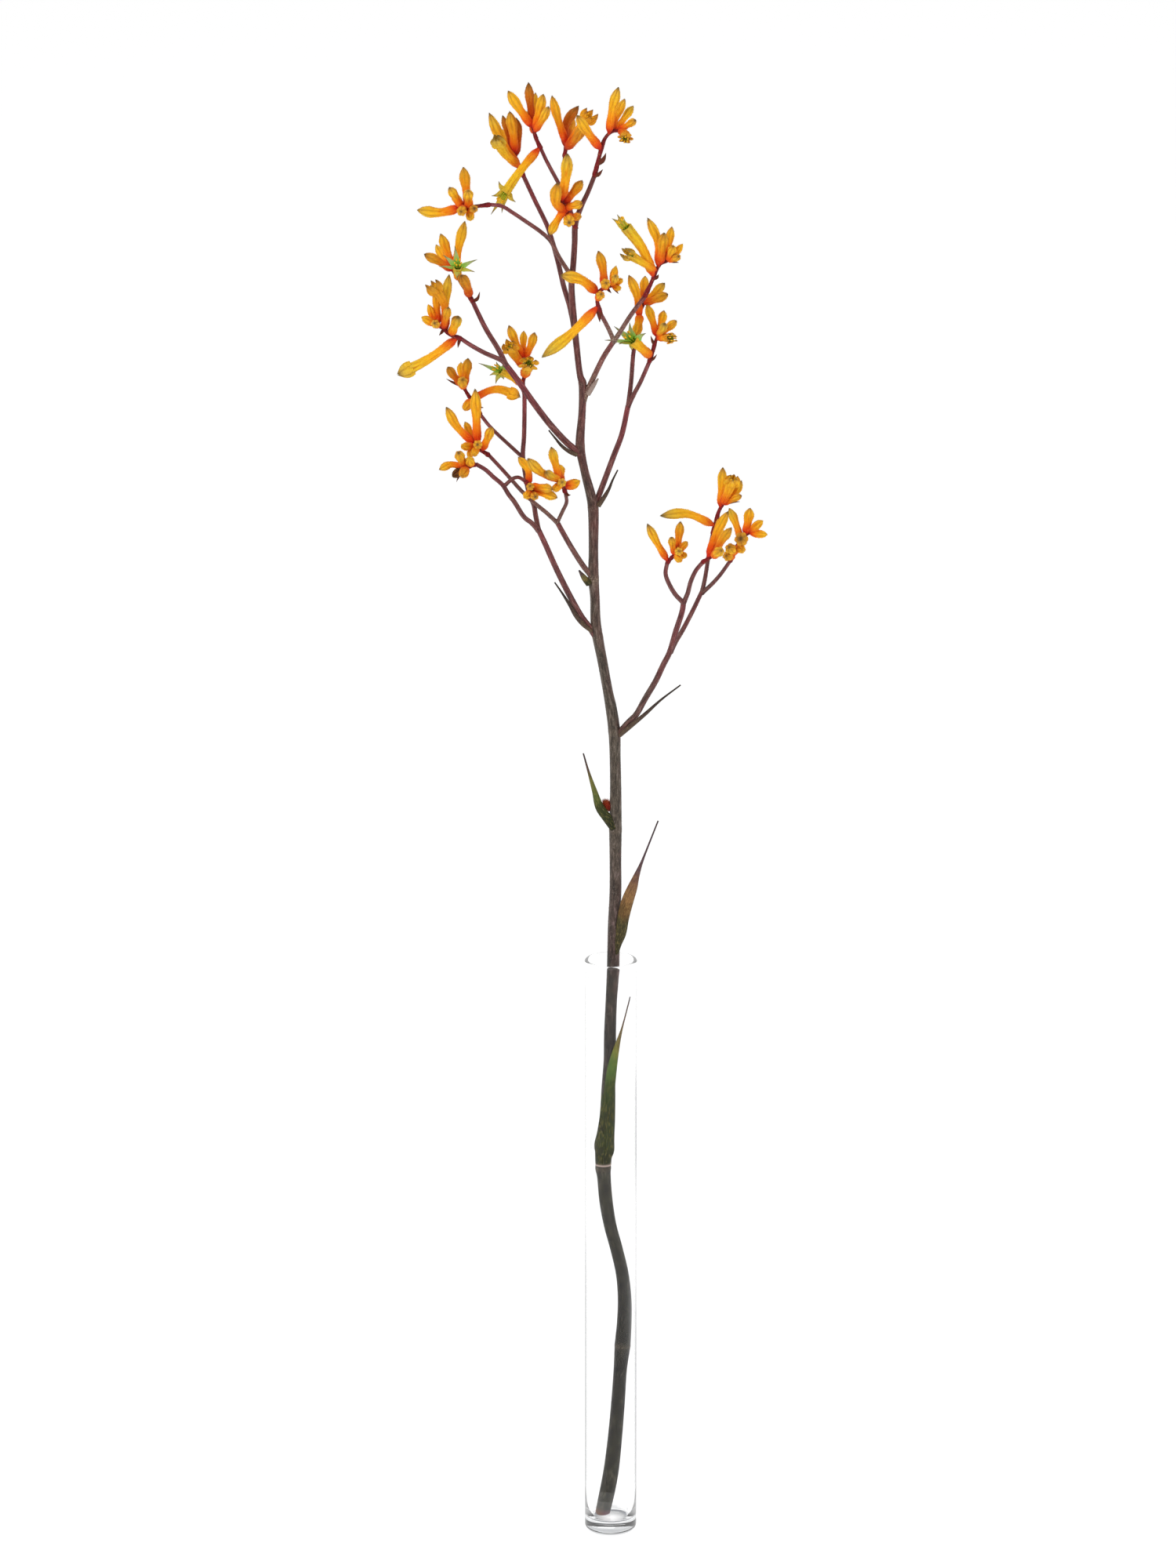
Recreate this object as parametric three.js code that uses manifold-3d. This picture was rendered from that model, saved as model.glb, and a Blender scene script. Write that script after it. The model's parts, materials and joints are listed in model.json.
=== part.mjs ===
// A gold fever kangaroo paw: one branched flower stem standing in a tall glass vase.
// Millimetres, +Z up. The origin is the centre of the vase's underside.

import * as THREE from 'three';
import { mergeVertices } from 'three/addons/utils/BufferGeometryUtils.js';
import Module from 'manifold-3d';

const wasm = await Module();
wasm.setup();

// Driving dimensions of the vase
const VASE_HEIGHT = 326.5;
const VASE_OUTER_RADIUS = 14;
const VASE_INNER_RADIUS = 12;
const VASE_FLOOR = 7;
const VASE_HEEL_RADIUS = 3;
const VASE_FLOOR_FILLET = 2.6;
const VASE_FLOOR_RISE = 18;
const VASE_LIP_HEIGHT = 2.4;
const VASE_LIP_BULGE = 0.35;
const VASE_SECTORS = 32;
const VASE_ARC_STEPS = 3;

// Driving dimensions of the plant
const CUT_END_DIAMETER = 8.4;
const SEAT_GAP = 0.3;
const STALK_FOOT_DIAMETER = 2.5;
const STALK_TIP_DIAMETER = 1.9;
const BRACT_THICKNESS = 0.9;
const SCALE_THICKNESS = 0.8;
const STEM_SIDES = 9;
const BRANCH_SIDES = 6;
const FLOWER_SIDES = 5;
const LOBES = 6;
const SLIVER = 0.04;
const MERGE_TOLERANCE = 1e-4;
const CUTTER_SIZE = 100;
// Below this length, a direction across the view is taken to be along it.
const END_ON = 0.05;

// The picture that the plant was measured in looks level at the vase but for its pitch, from far away.
// A point of it is a pixel of the 1500 x 2000 frame and a depth in millimetres behind the vase's axis.
const FRAME_CENTRE_X = 750;
const FRAME_CENTRE_Y = 1000;
const MM_PER_PIXEL = 0.42;
const VIEW_DISTANCE = 8000;
const VIEW_PITCH = THREE.MathUtils.degToRad(18);
const AIM = new THREE.Vector3(-12.3, 0, 425.6);
const LOOK = new THREE.Vector3(0, Math.cos(VIEW_PITCH), -Math.sin(VIEW_PITCH));
const VIEW_UP = new THREE.Vector3(0, Math.sin(VIEW_PITCH), Math.cos(VIEW_PITCH));
const EYE = AIM.clone().addScaledVector(LOOK, -VIEW_DISTANCE);

function seen(pixelX, pixelY, depth) {
  const ray = LOOK.clone().multiplyScalar(VIEW_DISTANCE);
  ray.x += (pixelX - FRAME_CENTRE_X) * MM_PER_PIXEL;
  ray.addScaledVector(VIEW_UP, (FRAME_CENTRE_Y - pixelY) * MM_PER_PIXEL);
  return EYE.clone().addScaledVector(ray, (depth - EYE.y) / ray.y);
}

// Main stem, from its cut end up: pixel x, pixel y, depth, diameter in millimetres.
// The wider rows are its nodes.
const MAIN_STEM = [
  [767.5, 1932, 1.5, CUT_END_DIAMETER],
  [770.5, 1920, 1.5, 8.4],
  [779, 1878, 0.5, 8.4],
  [784, 1836, -1, 7.8],
  [787.7, 1794, -2, 7.4],
  [791, 1745, -3, 7.1],
  [793.5, 1715, -3.4, 8.1],
  [795.6, 1684, -3.6, 7.4],
  [796, 1653, -3.2, 7.0],
  [793.3, 1623, -2, 6.8],
  [786.3, 1592, 0, 6.8],
  [778.2, 1562, 2, 6.9],
  [772.8, 1531, 3.5, 7.4],
  [770, 1500, 4.4, 7.7],
  [769, 1489, 4.6, 8.6],
  [770.5, 1458, 4.8, 7.2],
  [773.5, 1430, 4.8, 7.2],
  [775, 1391, 5, 7.1],
  [778, 1353, 5.2, 7.1],
  [778, 1322, 5.5, 6.7],
  [779.5, 1280, 5.8, 6.3],
  [782, 1236, 6, 6.7],
  [783, 1182, 6, 6.5],
  [785, 1138, 6, 6.4],
  [785, 1095, 5.5, 6.3],
  [785, 1058, 5, 6.7],
  [785.3, 1008, 4.5, 6.1],
  [784.6, 965, 4, 5.9],
  [783.5, 932, 3.5, 6.4],
  [779, 900, 3, 6.0],
  [776, 885, 3, 5.4],
  [768.5, 844, 2.5, 5.3],
  [762.5, 813, 2, 5.7],
  [759.8, 793, 2, 5.5],
  [758.8, 762, 2, 5.1],
  [757, 738, 2, 5.7],
  [757, 701, 2, 5.1],
  [756.5, 647, 2, 5.7],
  [754.2, 634, 2, 5.3],
  [745, 598, 2, 4.4],
  [740, 569, 2, 4.9],
  [742.5, 525, 2, 3.9],
  [743, 489, 2, 4.3],
  [740, 479, 2, 3.5],
  [735, 438, 2, 3.4],
  [732, 409, 2, 3.6],
  [729, 364, 0, 3.3],
  [731, 340, -1, 3.2],
  [733, 310, -2, 3.1],
  [734, 285, -3, 3.2],
  [742, 262, -5, 2.7],
  [750, 245, -6, 2.5],
  [758, 225, -7, 2.4],
];

// Branches: each has one or more runs, and a run is its first and last diameter and its line.
const BRANCHES = {
  branch_low_right: [
    [3.4, 2.9, [[784, 943, 4], [793, 931, 2], [803, 920, 0], [811, 912, -2], [823, 891, -6], [836, 869, -10],
      [846, 848, -12], [854, 832, -14], [862, 805, -17], [870, 780, -19], [872, 767, -20]]],
    [2.6, 2.2, [[872, 769, -20], [862, 759, -22], [854, 746, -24], [849, 732, -25], [851, 718, -26]]],
    [2.6, 2.2, [[872, 769, -20], [877, 757, -21], [881, 742, -23], [887.5, 728, -25], [896, 717.5, -27]]],
    [2.8, 2.3, [[855, 832, -14], [862, 818, -8], [871, 803, -1], [884, 778, 6], [895, 755, 10]]],
    [2.4, 2.0, [[895, 757, 10], [899, 739, 12], [902, 721, 14], [905, 700, 15], [909, 681, 16]]],
    [2.3, 2.0, [[895, 757, 10], [907, 746, 9], [918, 734, 7], [931, 716, 4]]],
  ],
  branch_low_left: [
    [3.5, 2.9, [[762, 816, 2], [754, 803, 1.5], [742, 787, 0], [730, 766, -3], [717.6, 742, -7],
      [707, 720, -10], [695, 693, -12.5], [687, 676, -14]]],
    [2.7, 2.2, [[687, 677, -14], [678, 667, -16], [669, 660, -18], [656, 640, -20.5], [649, 631, -21],
      [641, 618.5, -22], [630, 609, -23], [619, 599, -24], [607, 592, -25]]],
    [2.1, 1.9, [[643, 620, -22], [655, 610, -21], [662, 609, -20], [670, 614, -20]]],
    [2.7, 2.3, [[687, 677, -14], [683, 656, -8], [681, 644, -3], [675, 630, 2], [670, 605, 6], [667, 581, 8],
      [668.4, 558, 9], [669, 530, 10], [669, 502, 11]]],
    [2.1, 1.9, [[667, 583, 8], [662, 579, 9], [650, 568, 11], [638, 557, 13], [624, 543, 15], [613, 529, 17]]],
  ],
  branch_middle_left: [
    [3.3, 2.7, [[758, 745, 2], [754, 735, 1.5], [744, 722, 0], [728, 697, -3], [710, 665, -6]]],
    [2.3, 2.0, [[711, 667, -6], [697, 654, -7], [681, 641, -8], [666, 627, -8], [652, 611.5, -8],
      [638, 596, -8], [624, 581, -8]]],
    [2.1, 1.9, [[710.5, 667, -6], [717.6, 652, -9], [722.7, 640, -11], [721, 628, -12]]],
  ],
  branch_middle_right: [
    [3.3, 2.8, [[758, 650, 2], [761, 640, 3], [771, 613, 5], [783, 581, 8], [793, 554.5, 10], [801, 518, 12]]],
    [2.5, 2.1, [[801, 520, 12], [805, 487, 15], [808, 450, 18], [812, 425, 20]]],
    [2.5, 2.2, [[800.5, 520, 12], [809, 502, 11], [817, 487, 10], [828, 462, 8]]],
  ],
  branch_high_left: [
    [3.8, 3.1, [[743, 583, 2], [734, 574, 1], [722.4, 564, 0], [701.4, 541, -3], [680, 513, -5],
      [663.5, 489.5, -6], [652, 474, -7], [645, 465, -8]]],
    [2.7, 2.2, [[646, 466, -8], [640, 460, -9], [618, 450, -12], [600, 440, -14], [588, 432, -15]]],
    [2.9, 2.4, [[646, 467, -8], [637, 448, -6], [620, 420, -2], [610, 400, 0], [603, 385, 1]]],
  ],
  branch_high_right: [
    [3.1, 2.7, [[744, 512, 2], [749, 499, 1], [757.7, 480, -1], [770, 455, -5], [783, 435, -8]]],
    [2.5, 2.2, [[784, 437, -8], [776, 419, -10], [766, 400, -13]]],
    [2.7, 2.3, [[782.5, 436, -8], [788, 428, -8], [806, 400, -7], [822, 379, -5]]],
  ],
  crown_left: [
    [2.9, 2.3, [[732, 415, 2], [726.5, 390, 4], [719, 365, 5.5], [712, 335, 7.5], [704, 306, 9.5],
      [698, 288, 10.5], [682, 255, 12], [668, 225, 13]]],
  ],
  crown_middle: [
    [2.6, 2.3, [[734.5, 292, -3], [731, 280, 0], [727, 267, 2]]],
    [2.3, 1.9, [[727, 268, 2], [722, 252, 3], [712, 233, 4], [697, 205, 5], [690, 190, 5]]],
    [2.3, 1.9, [[727.5, 269, 2], [725, 258, 3], [722, 240, 5], [720, 220, 7], [720, 200, 8]]],
  ],
  crown_front: [
    [2.5, 2.0, [[730, 358, -1], [727, 350, -3], [722, 342, -5], [713, 328, -8], [702, 307, -12],
      [690, 296, -14], [670, 282, -17], [655, 272, -19], [640, 263, -21], [625, 261, -22]]],
  ],
};

// Flower forms
const BUD = 'bud';
const OPEN = 'open';
const STAR = 'star';
const SCALE = 'scale';

// Flower heads. The stalk is a line of pixel x, pixel y and depth that starts where its branch ends.
// A flower is its form, its foot and its tip as pixel x, pixel y and depth, its width in millimetres,
// and how far its middle bows to the right of the line from foot to tip, in pixels.
const HEADS = {
  head_crown_left: {
    on: 'crown_left',
    stalk: [[668, 225, 13], [660, 207, 13], [655, 193, 13]],
    flowers: [
      [BUD, 656, 220, 13, 624, 144, 6, 5.4, 1],
      [OPEN, 655, 216, 11, 632, 174, -5, 5.2, 0],
      [BUD, 653, 186, 14, 641, 147, 20, 3.8, 0],
      [BUD, 659, 196, 13, 650, 142, 6, 5.4, 0],
      [BUD, 662, 198, 14, 658, 150, 16, 4.6, 1],
      [BUD, 658, 198, 15, 637, 164, 31, 4.6, 0],
    ],
  },
  head_crown_back: {
    on: 'crown_middle',
    stalk: [[690, 190, 5], [684, 177, 6], [680, 163, 6]],
    flowers: [
      [BUD, 676, 160, 6, 648, 116, -2, 5.4, 0],
      [BUD, 678, 156, 7, 674, 105, 10, 4.6, 0],
      [BUD, 681, 154, 9, 683, 118, 20, 3.6, 0],
      [BUD, 682, 166, 6, 693, 120, 0, 5.2, 0],
      [BUD, 684, 168, 5, 700, 136, -10, 4.6, 0],
      [BUD, 683, 170, 7, 671, 142, 22, 4.4, 0],
      [STAR, 684, 190, 5, 643, 248, -2, 5.2, 0.5,
        [[636, 231], [651, 240], [658, 258], [640, 272], [626, 274], [627, 250]]],
    ],
  },
  head_crown_middle: {
    on: 'crown_middle',
    stalk: [[720, 200, 8], [722, 188, 8], [724, 180, 8]],
    flowers: [
      [BUD, 720, 184, 8, 704, 122, 2, 4.8, 0],
      [BUD, 721, 188, 10, 738, 135, 21, 5.0, -8],
      [OPEN, 725, 192, 7, 756, 143, 0, 5.2, -3],
      [BUD, 726, 192, 6, 745, 160, -8, 5.2, 0],
      [BUD, 724, 180, 11, 731, 150, 29, 4.2, 0],
    ],
  },
  head_crown_right: {
    on: 'main_stem',
    stalk: [[758, 225, -7], [763, 205, -8], [767, 190, -9], [772, 176, -10], [780, 168, -10], [790, 166, -10]],
    flowers: [
      [BUD, 773, 168, -10, 789, 111, -17, 5.0, 0],
      [BUD, 785, 166, -10, 808, 135, -4, 4.2, 0],
      [BUD, 792, 165, -9, 811, 153, -18, 4.0, 0],
      [OPEN, 799, 164, -10, 797, 178, -22, 4.8, 0],
      [BUD, 763, 190, -9, 736, 147, -24, 5.5, 0],
      [BUD, 776, 170, -8, 797, 126, 8, 4.6, 0],
      [SCALE, 758, 229, -8, 769, 216, -12, 2.4, 0],
      [SCALE, 766, 212, -9, 773, 195, -13, 3.0, 0],
    ],
  },
  head_crown_centre: {
    on: 'main_stem',
    stalk: [[734, 290, -4.5], [728, 279, -9], [722, 266, -14], [716, 256, -17]],
    flowers: [
      [BUD, 720, 252, -17, 724, 196, -20, 6.2, 0],
      [BUD, 707, 284, -16, 711, 233, -26, 5.8, 0],
      [BUD, 724, 256, -15, 743, 230, -9, 5.0, 0],
      [BUD, 722, 264, -14, 742, 260, -24, 4.8, 0],
      [BUD, 725, 276, -10, 726, 284, -26, 6.0, 0],
      [BUD, 730, 277, -9, 740, 276, -20, 4.0, 0],
      [BUD, 717, 268, -15, 701, 300, -23, 4.6, 0],
    ],
  },
  head_crown_front: {
    on: 'crown_front',
    stalk: [[625, 261, -22], [610, 263, -24], [597, 265, -25], [588, 265, -25]],
    flowers: [
      [BUD, 588, 270, -25, 532, 268, -27, 5.8, -2],
      [BUD, 588, 262, -25, 573, 239, -31, 4.6, 0],
      [BUD, 597, 260, -24, 591, 213, -16, 5.4, 0],
      [BUD, 598, 262, -25, 597, 243, -34, 5.2, 0],
      [BUD, 591, 267, -26, 588, 270, -40, 5.0, 0],
      [BUD, 602, 267, -25, 605, 266, -38, 4.2, 0],
      [BUD, 599, 269, -24, 600, 280, -34, 4.2, 0],
      [BUD, 592, 263, -22, 578, 250, -6, 4.6, 0],
      [SCALE, 601, 262, -23, 596, 281, -25, 2.0, 0],
    ],
  },
  head_high_left: {
    on: 'branch_high_left',
    stalk: [[603, 385, 1], [593, 368, 2], [584, 354, 3], [578, 345, 4]],
    flowers: [
      [BUD, 586, 344, 4, 593, 282, 10, 5.0, -4],
      [BUD, 578, 342, 5, 562, 298, 13, 5.0, 0],
      [BUD, 574, 345, 3, 541, 324, -4, 5.0, 2],
      [BUD, 572, 342, 6, 556, 312, 22, 3.8, 0],
      [STAR, 583, 356, 2, 584, 339, -10, 5.0, 0,
        [[580, 313], [609, 331], [606, 347], [583, 356], [560, 340], [565, 325]]],
      [BUD, 602, 377, 0, 588, 351, -12, 5.6, 0],
      [SCALE, 606, 390, 0, 612, 372, -3, 2.0, 0],
    ],
  },
  head_far_left: {
    on: 'branch_high_left',
    stalk: [[588, 432, -15], [575, 427, -16], [565, 419, -17], [557, 414, -17]],
    flowers: [
      [BUD, 561, 412, -17, 559, 368, -10, 4.8, -3],
      [BUD, 571, 420, -16, 573, 350, -5, 5.0, -4],
      [OPEN, 570, 418, -17, 549, 360, -20, 4.8, 7],
      [BUD, 566, 417, -17, 572, 392, -28, 4.2, 0],
      [BUD, 575, 426, -15, 585, 404, -24, 5.6, 0],
      [BUD, 556, 412, -17, 546, 388, -15, 3.8, 0],
      [BUD, 554, 414, -18, 538, 404, -22, 4.2, 0],
      [BUD, 558, 416, -18, 554, 412, -32, 4.2, 0],
      [OPEN, 583, 432, -15, 508, 478, -18, 5.4, -3],
      [SCALE, 586, 433, -15, 584, 444, -18, 1.8, 0],
      [SCALE, 566, 421, -17, 560, 428, -20, 1.8, 0],
    ],
  },
  head_left_inner: {
    on: 'branch_low_left',
    stalk: [[669, 502, 11], [667, 490, 11], [669, 478, 11], [668, 464, 11], [668, 454, 12]],
    flowers: [
      [BUD, 664, 458, 11, 649, 415, 5, 4.6, 1],
      [OPEN, 665, 468, 10, 648, 438, 0, 5.4, 0],
      [BUD, 667, 455, 13, 668, 422, 23, 3.8, 0],
      [BUD, 670, 458, 12, 682, 424, 7, 4.6, 1],
      [OPEN, 670, 479, 10, 675, 461, -6, 6.2, 0],
      [STAR, 664, 492, 10, 637, 472, 3, 4.4, 2,
        [[610, 463], [624, 479], [632, 490], [643, 484], [645, 464], [633, 461]]],
    ],
  },
  head_left_outer: {
    on: 'branch_low_left',
    stalk: [[613, 529, 17], [604, 514, 18], [596, 502, 19], [591, 493, 19]],
    flowers: [
      [BUD, 592, 494, 18, 597, 457, 13, 5.2, 0],
      [BUD, 587, 489, 20, 588, 462, 31, 3.6, 0],
      [BUD, 587, 491, 19, 571, 468, 12, 4.6, 0],
      [BUD, 590, 494, 18, 590, 484, 2, 5.2, 0],
      [BUD, 601, 510, 18, 592, 523, 8, 4.6, 0],
      [OPEN, 602, 509, 18, 664, 506, 9, 4.6, -11],
      [SCALE, 585, 492, 19, 569, 483, 17, 1.8, 0],
      [SCALE, 607, 519, 17, 617, 520, 15, 1.8, 0],
    ],
  },
  head_middle_left: {
    on: 'branch_middle_left',
    stalk: [[624, 581, -8], [612, 573, -8], [606, 567, -8]],
    flowers: [
      [BUD, 617, 562, -8, 606, 496, -12, 5.4, -4],
      [BUD, 603, 564, -8, 569, 519, -15, 4.9, -4],
      [BUD, 604, 561, -8, 593, 538, -2, 3.8, 0],
      [BUD, 618, 570, -8, 627, 545, -15, 4.8, 0],
      [BUD, 610, 568, -9, 609, 567, -23, 4.6, 0],
      [BUD, 602, 570, -8, 589, 569, -18, 4.2, 0],
      [BUD, 607, 573, -9, 604, 580, -20, 4.0, 0],
      [BUD, 605, 572, -7, 597, 583, -12, 4.0, 0],
    ],
  },
  head_low_left: {
    on: 'branch_low_left',
    stalk: [[607, 592, -25], [599, 595, -26], [592, 596, -26]],
    flowers: [
      [BUD, 591, 593, -26, 584.5, 577, -36, 5.2, 0],
      [BUD, 592, 594, -25, 560, 599, -28, 4.2, 4],
      [BUD, 591, 598, -25, 577, 608, -31, 4.4, 0],
      [BUD, 595, 598, -27, 589, 607, -38, 5.0, 0],
      [BUD, 598, 593, -24, 588, 588, -10, 4.4, 0],
      [BUD, 601, 593, -25, 598, 585, -35, 4.6, 0],
      [SCALE, 589, 600, -25, 582, 615, -27, 1.8, 0],
    ],
  },
  head_left_low_inner: {
    on: 'branch_low_left',
    stalk: [[670, 614, -20], [676, 620, -20], [678, 630, -20]],
    flowers: [
      [BUD, 676, 617, -19, 661, 583, -10, 4.4, 5],
      [BUD, 680, 625, -21, 711, 635, -27, 4.8, 0],
      [BUD, 679, 620, -21, 705, 624, -32, 4.6, 0],
      [BUD, 676, 628, -20, 670, 634, -30, 4.2, 0],
      [BUD, 679, 630, -21, 683, 634, -33, 4.2, 0],
      [BUD, 677, 622, -22, 676, 620, -35, 4.0, 0],
    ],
  },
  head_left_middle_inner: {
    on: 'branch_middle_left',
    stalk: [[721, 628, -12], [718, 620, -13], [714, 612, -13]],
    flowers: [
      [BUD, 710, 614, -14, 673, 585, -34, 5.2, -3],
      [BUD, 713, 610, -13, 703, 570, -14, 5.0, 0],
      [BUD, 711, 613, -15, 696, 602, -27, 4.6, 0],
      [BUD, 719, 619, -12, 740, 613, -5, 5.0, 2],
      [BUD, 716, 617, -14, 717, 615, -28, 4.4, 0],
      [BUD, 715, 618, -13, 706, 625, -21, 4.2, 0],
      [BUD, 716, 614, -11, 714, 593, 0, 4.8, 0],
      [SCALE, 721, 632, -13, 728, 631, -16, 1.8, 0],
    ],
  },
  head_high_centre: {
    on: 'branch_high_right',
    stalk: [[766, 400, -13], [762, 385, -14], [763, 374, -15], [771, 367, -16], [781, 364, -16]],
    flowers: [
      [BUD, 761, 373, -15, 715, 351, -20, 6.3, 6],
      [BUD, 769, 366, -16, 763, 320, -14, 5.0, 3],
      [BUD, 771, 364, -17, 773, 361, -32, 5.0, 0],
      [BUD, 780, 361, -15, 786, 339, -11, 3.8, 0],
      [BUD, 783, 362, -17, 785, 352, -28, 4.0, 0],
      [BUD, 784, 363, -16, 794, 356, -22, 3.2, 0],
      [BUD, 783, 366, -16, 791, 368, -24, 3.2, 0],
      [BUD, 763, 381, -14, 767, 375, -26, 4.4, 0],
      [BUD, 762, 391, -14, 691, 456, -14, 6.0, -3],
      [SCALE, 764, 393, -14, 765, 411, -16, 3.0, 0],
      [SCALE, 774, 368, -16, 780, 374, -17, 1.8, 0],
      [SCALE, 782, 366, -16, 789, 375, -17, 1.8, 0],
    ],
  },
  head_high_right: {
    on: 'branch_high_right',
    stalk: [[822, 379, -5], [831, 360, -4], [837, 345, -3], [842, 337, -2], [852, 332, -2]],
    flowers: [
      [STAR, 831, 352, -4, 797, 288, -9, 6.0, 6, [[787, 273.5], [791, 277], [780.5, 278.5], [786, 283]]],
      [OPEN, 832, 344, -6, 796, 321, -18, 4.8, 1],
      [BUD, 838, 340, -2, 826, 278, -6, 4.9, 7],
      [BUD, 842, 337, -3, 847, 297, -12, 5.4, 0],
      [BUD, 849, 332, -2, 857, 289, 3, 4.4, 0],
      [BUD, 853, 330, -3, 859, 314, -15, 4.4, 0],
      [BUD, 855, 331, -2, 871, 311, -4, 3.8, 0],
      [BUD, 855, 332, -2, 866, 327, -14, 4.0, 0],
      [SCALE, 836, 357, -4, 840, 350, -5, 2.4, 0],
      [SCALE, 853, 333, -2, 866, 335, -2, 1.8, 0],
    ],
  },
  head_right_inner: {
    on: 'branch_middle_right',
    stalk: [[812, 425, 20], [815, 408, 20], [818, 394, 20], [821, 387, 20]],
    flowers: [
      [BUD, 807, 404, 20, 802, 351, 15, 5.0, 8],
      [BUD, 819, 388, 21, 823, 352, 33, 4.6, 0],
      [BUD, 823, 386, 20, 848, 361, 17, 4.6, 0],
      [BUD, 823, 388, 19, 852, 375, 8, 4.8, 0],
      [BUD, 817, 402, 19, 811, 428, 10, 5.4, 0],
    ],
  },
  head_right_outer: {
    on: 'branch_middle_right',
    stalk: [[828, 462, 8], [832, 450, 8], [836, 436, 7], [840, 427, 7]],
    flowers: [
      [BUD, 835, 429, 7, 825, 388, 10, 4.6, 2],
      [BUD, 841, 424, 7, 847, 396, 13, 4.6, 0],
      [BUD, 844, 425, 6, 863, 409, 1, 4.4, 0],
      [OPEN, 840, 431, 6, 859, 431, -5, 4.8, 0],
      [BUD, 842, 427, 5, 848, 413, -8, 4.4, 0],
      [STAR, 832, 456, 7, 806, 433, 0, 6.0, 0,
        [[771, 434], [783, 416], [803, 411], [824, 425], [806, 447], [789, 439]]],
      [SCALE, 830, 462, 7, 838, 452, 5, 1.8, 0],
      [SCALE, 834, 441, 6, 830, 428, 4, 1.8, 0],
    ],
  },
  head_low_right_left: {
    on: 'branch_low_right',
    stalk: [[851, 718, -26], [856, 712, -26], [863, 706, -26]],
    flowers: [
      [BUD, 849, 714, -26, 825.5, 668, -30, 4.4, 0],
      [BUD, 864, 702, -25, 868, 665, -18, 4.6, 0],
      [BUD, 859, 706, -26, 856.5, 685, -34, 4.0, 0],
      [BUD, 866, 702, -26, 877, 691, -32, 3.6, 0],
      [BUD, 865, 705, -27, 866, 703, -40, 4.2, 0],
      [BUD, 864, 709, -27, 867, 715, -37, 4.2, 0],
      [BUD, 866, 707, -26, 876, 709, -31, 3.6, 0],
    ],
  },
  head_low_right_top: {
    on: 'branch_low_right',
    stalk: [[909, 681, 16], [913, 666, 16], [917, 652, 17], [922, 643, 17]],
    flowers: [
      [BUD, 905, 670, 14, 842, 658, 6, 5.2, 9],
      [BUD, 919, 648, 17, 922, 596, 20, 5.0, 0],
      [OPEN, 922, 644, 16, 936, 608, 7, 5.4, 0],
      [BUD, 924, 641, 17, 946, 632, 9, 3.8, 0],
      [BUD, 924, 644, 18, 946, 613, 17, 4.6, 2],
      [SCALE, 926, 641, 17, 944, 640, 15, 1.8, 0],
    ],
  },
  head_low_right_front: {
    on: 'branch_low_right',
    stalk: [[896, 717.5, -27], [904, 712, -28], [910, 709, -28]],
    flowers: [
      [BUD, 899, 707, -27, 929, 652, -28, 5.0, 0],
      [BUD, 911, 703, -29, 933, 673, -40, 4.4, 0],
      [BUD, 910, 708, -29, 920, 702, -44, 5.2, 0],
      [BUD, 904, 708, -26, 922, 672, -10, 4.4, 0],
    ],
  },
  head_low_right_back: {
    on: 'branch_low_right',
    stalk: [[931, 716, 4], [936, 706, 3], [942, 694, 2], [949, 684, 2], [956, 679, 2]],
    flowers: [
      [BUD, 943, 688, 2, 930, 648, 8, 4.4, 2],
      [BUD, 947, 689, 1, 945, 687, -15, 7.0, 0],
      [BUD, 951, 682, 2, 957, 648, 5, 5.4, 0],
      [BUD, 956, 678, 2, 973, 664, -4, 4.2, 0],
      [BUD, 956, 680, 2, 979, 682, -2, 4.2, 0],
      [BUD, 941, 698, 2, 948, 702, -9, 4.4, 0],
      [BUD, 937, 705, 2, 930, 698, -12, 5.6, 0],
      [BUD, 934, 710, 3, 926, 709, -9, 5.0, 0],
      [SCALE, 934, 713, 3, 921, 711, 1, 1.8, 0],
    ],
  },
};

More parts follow.
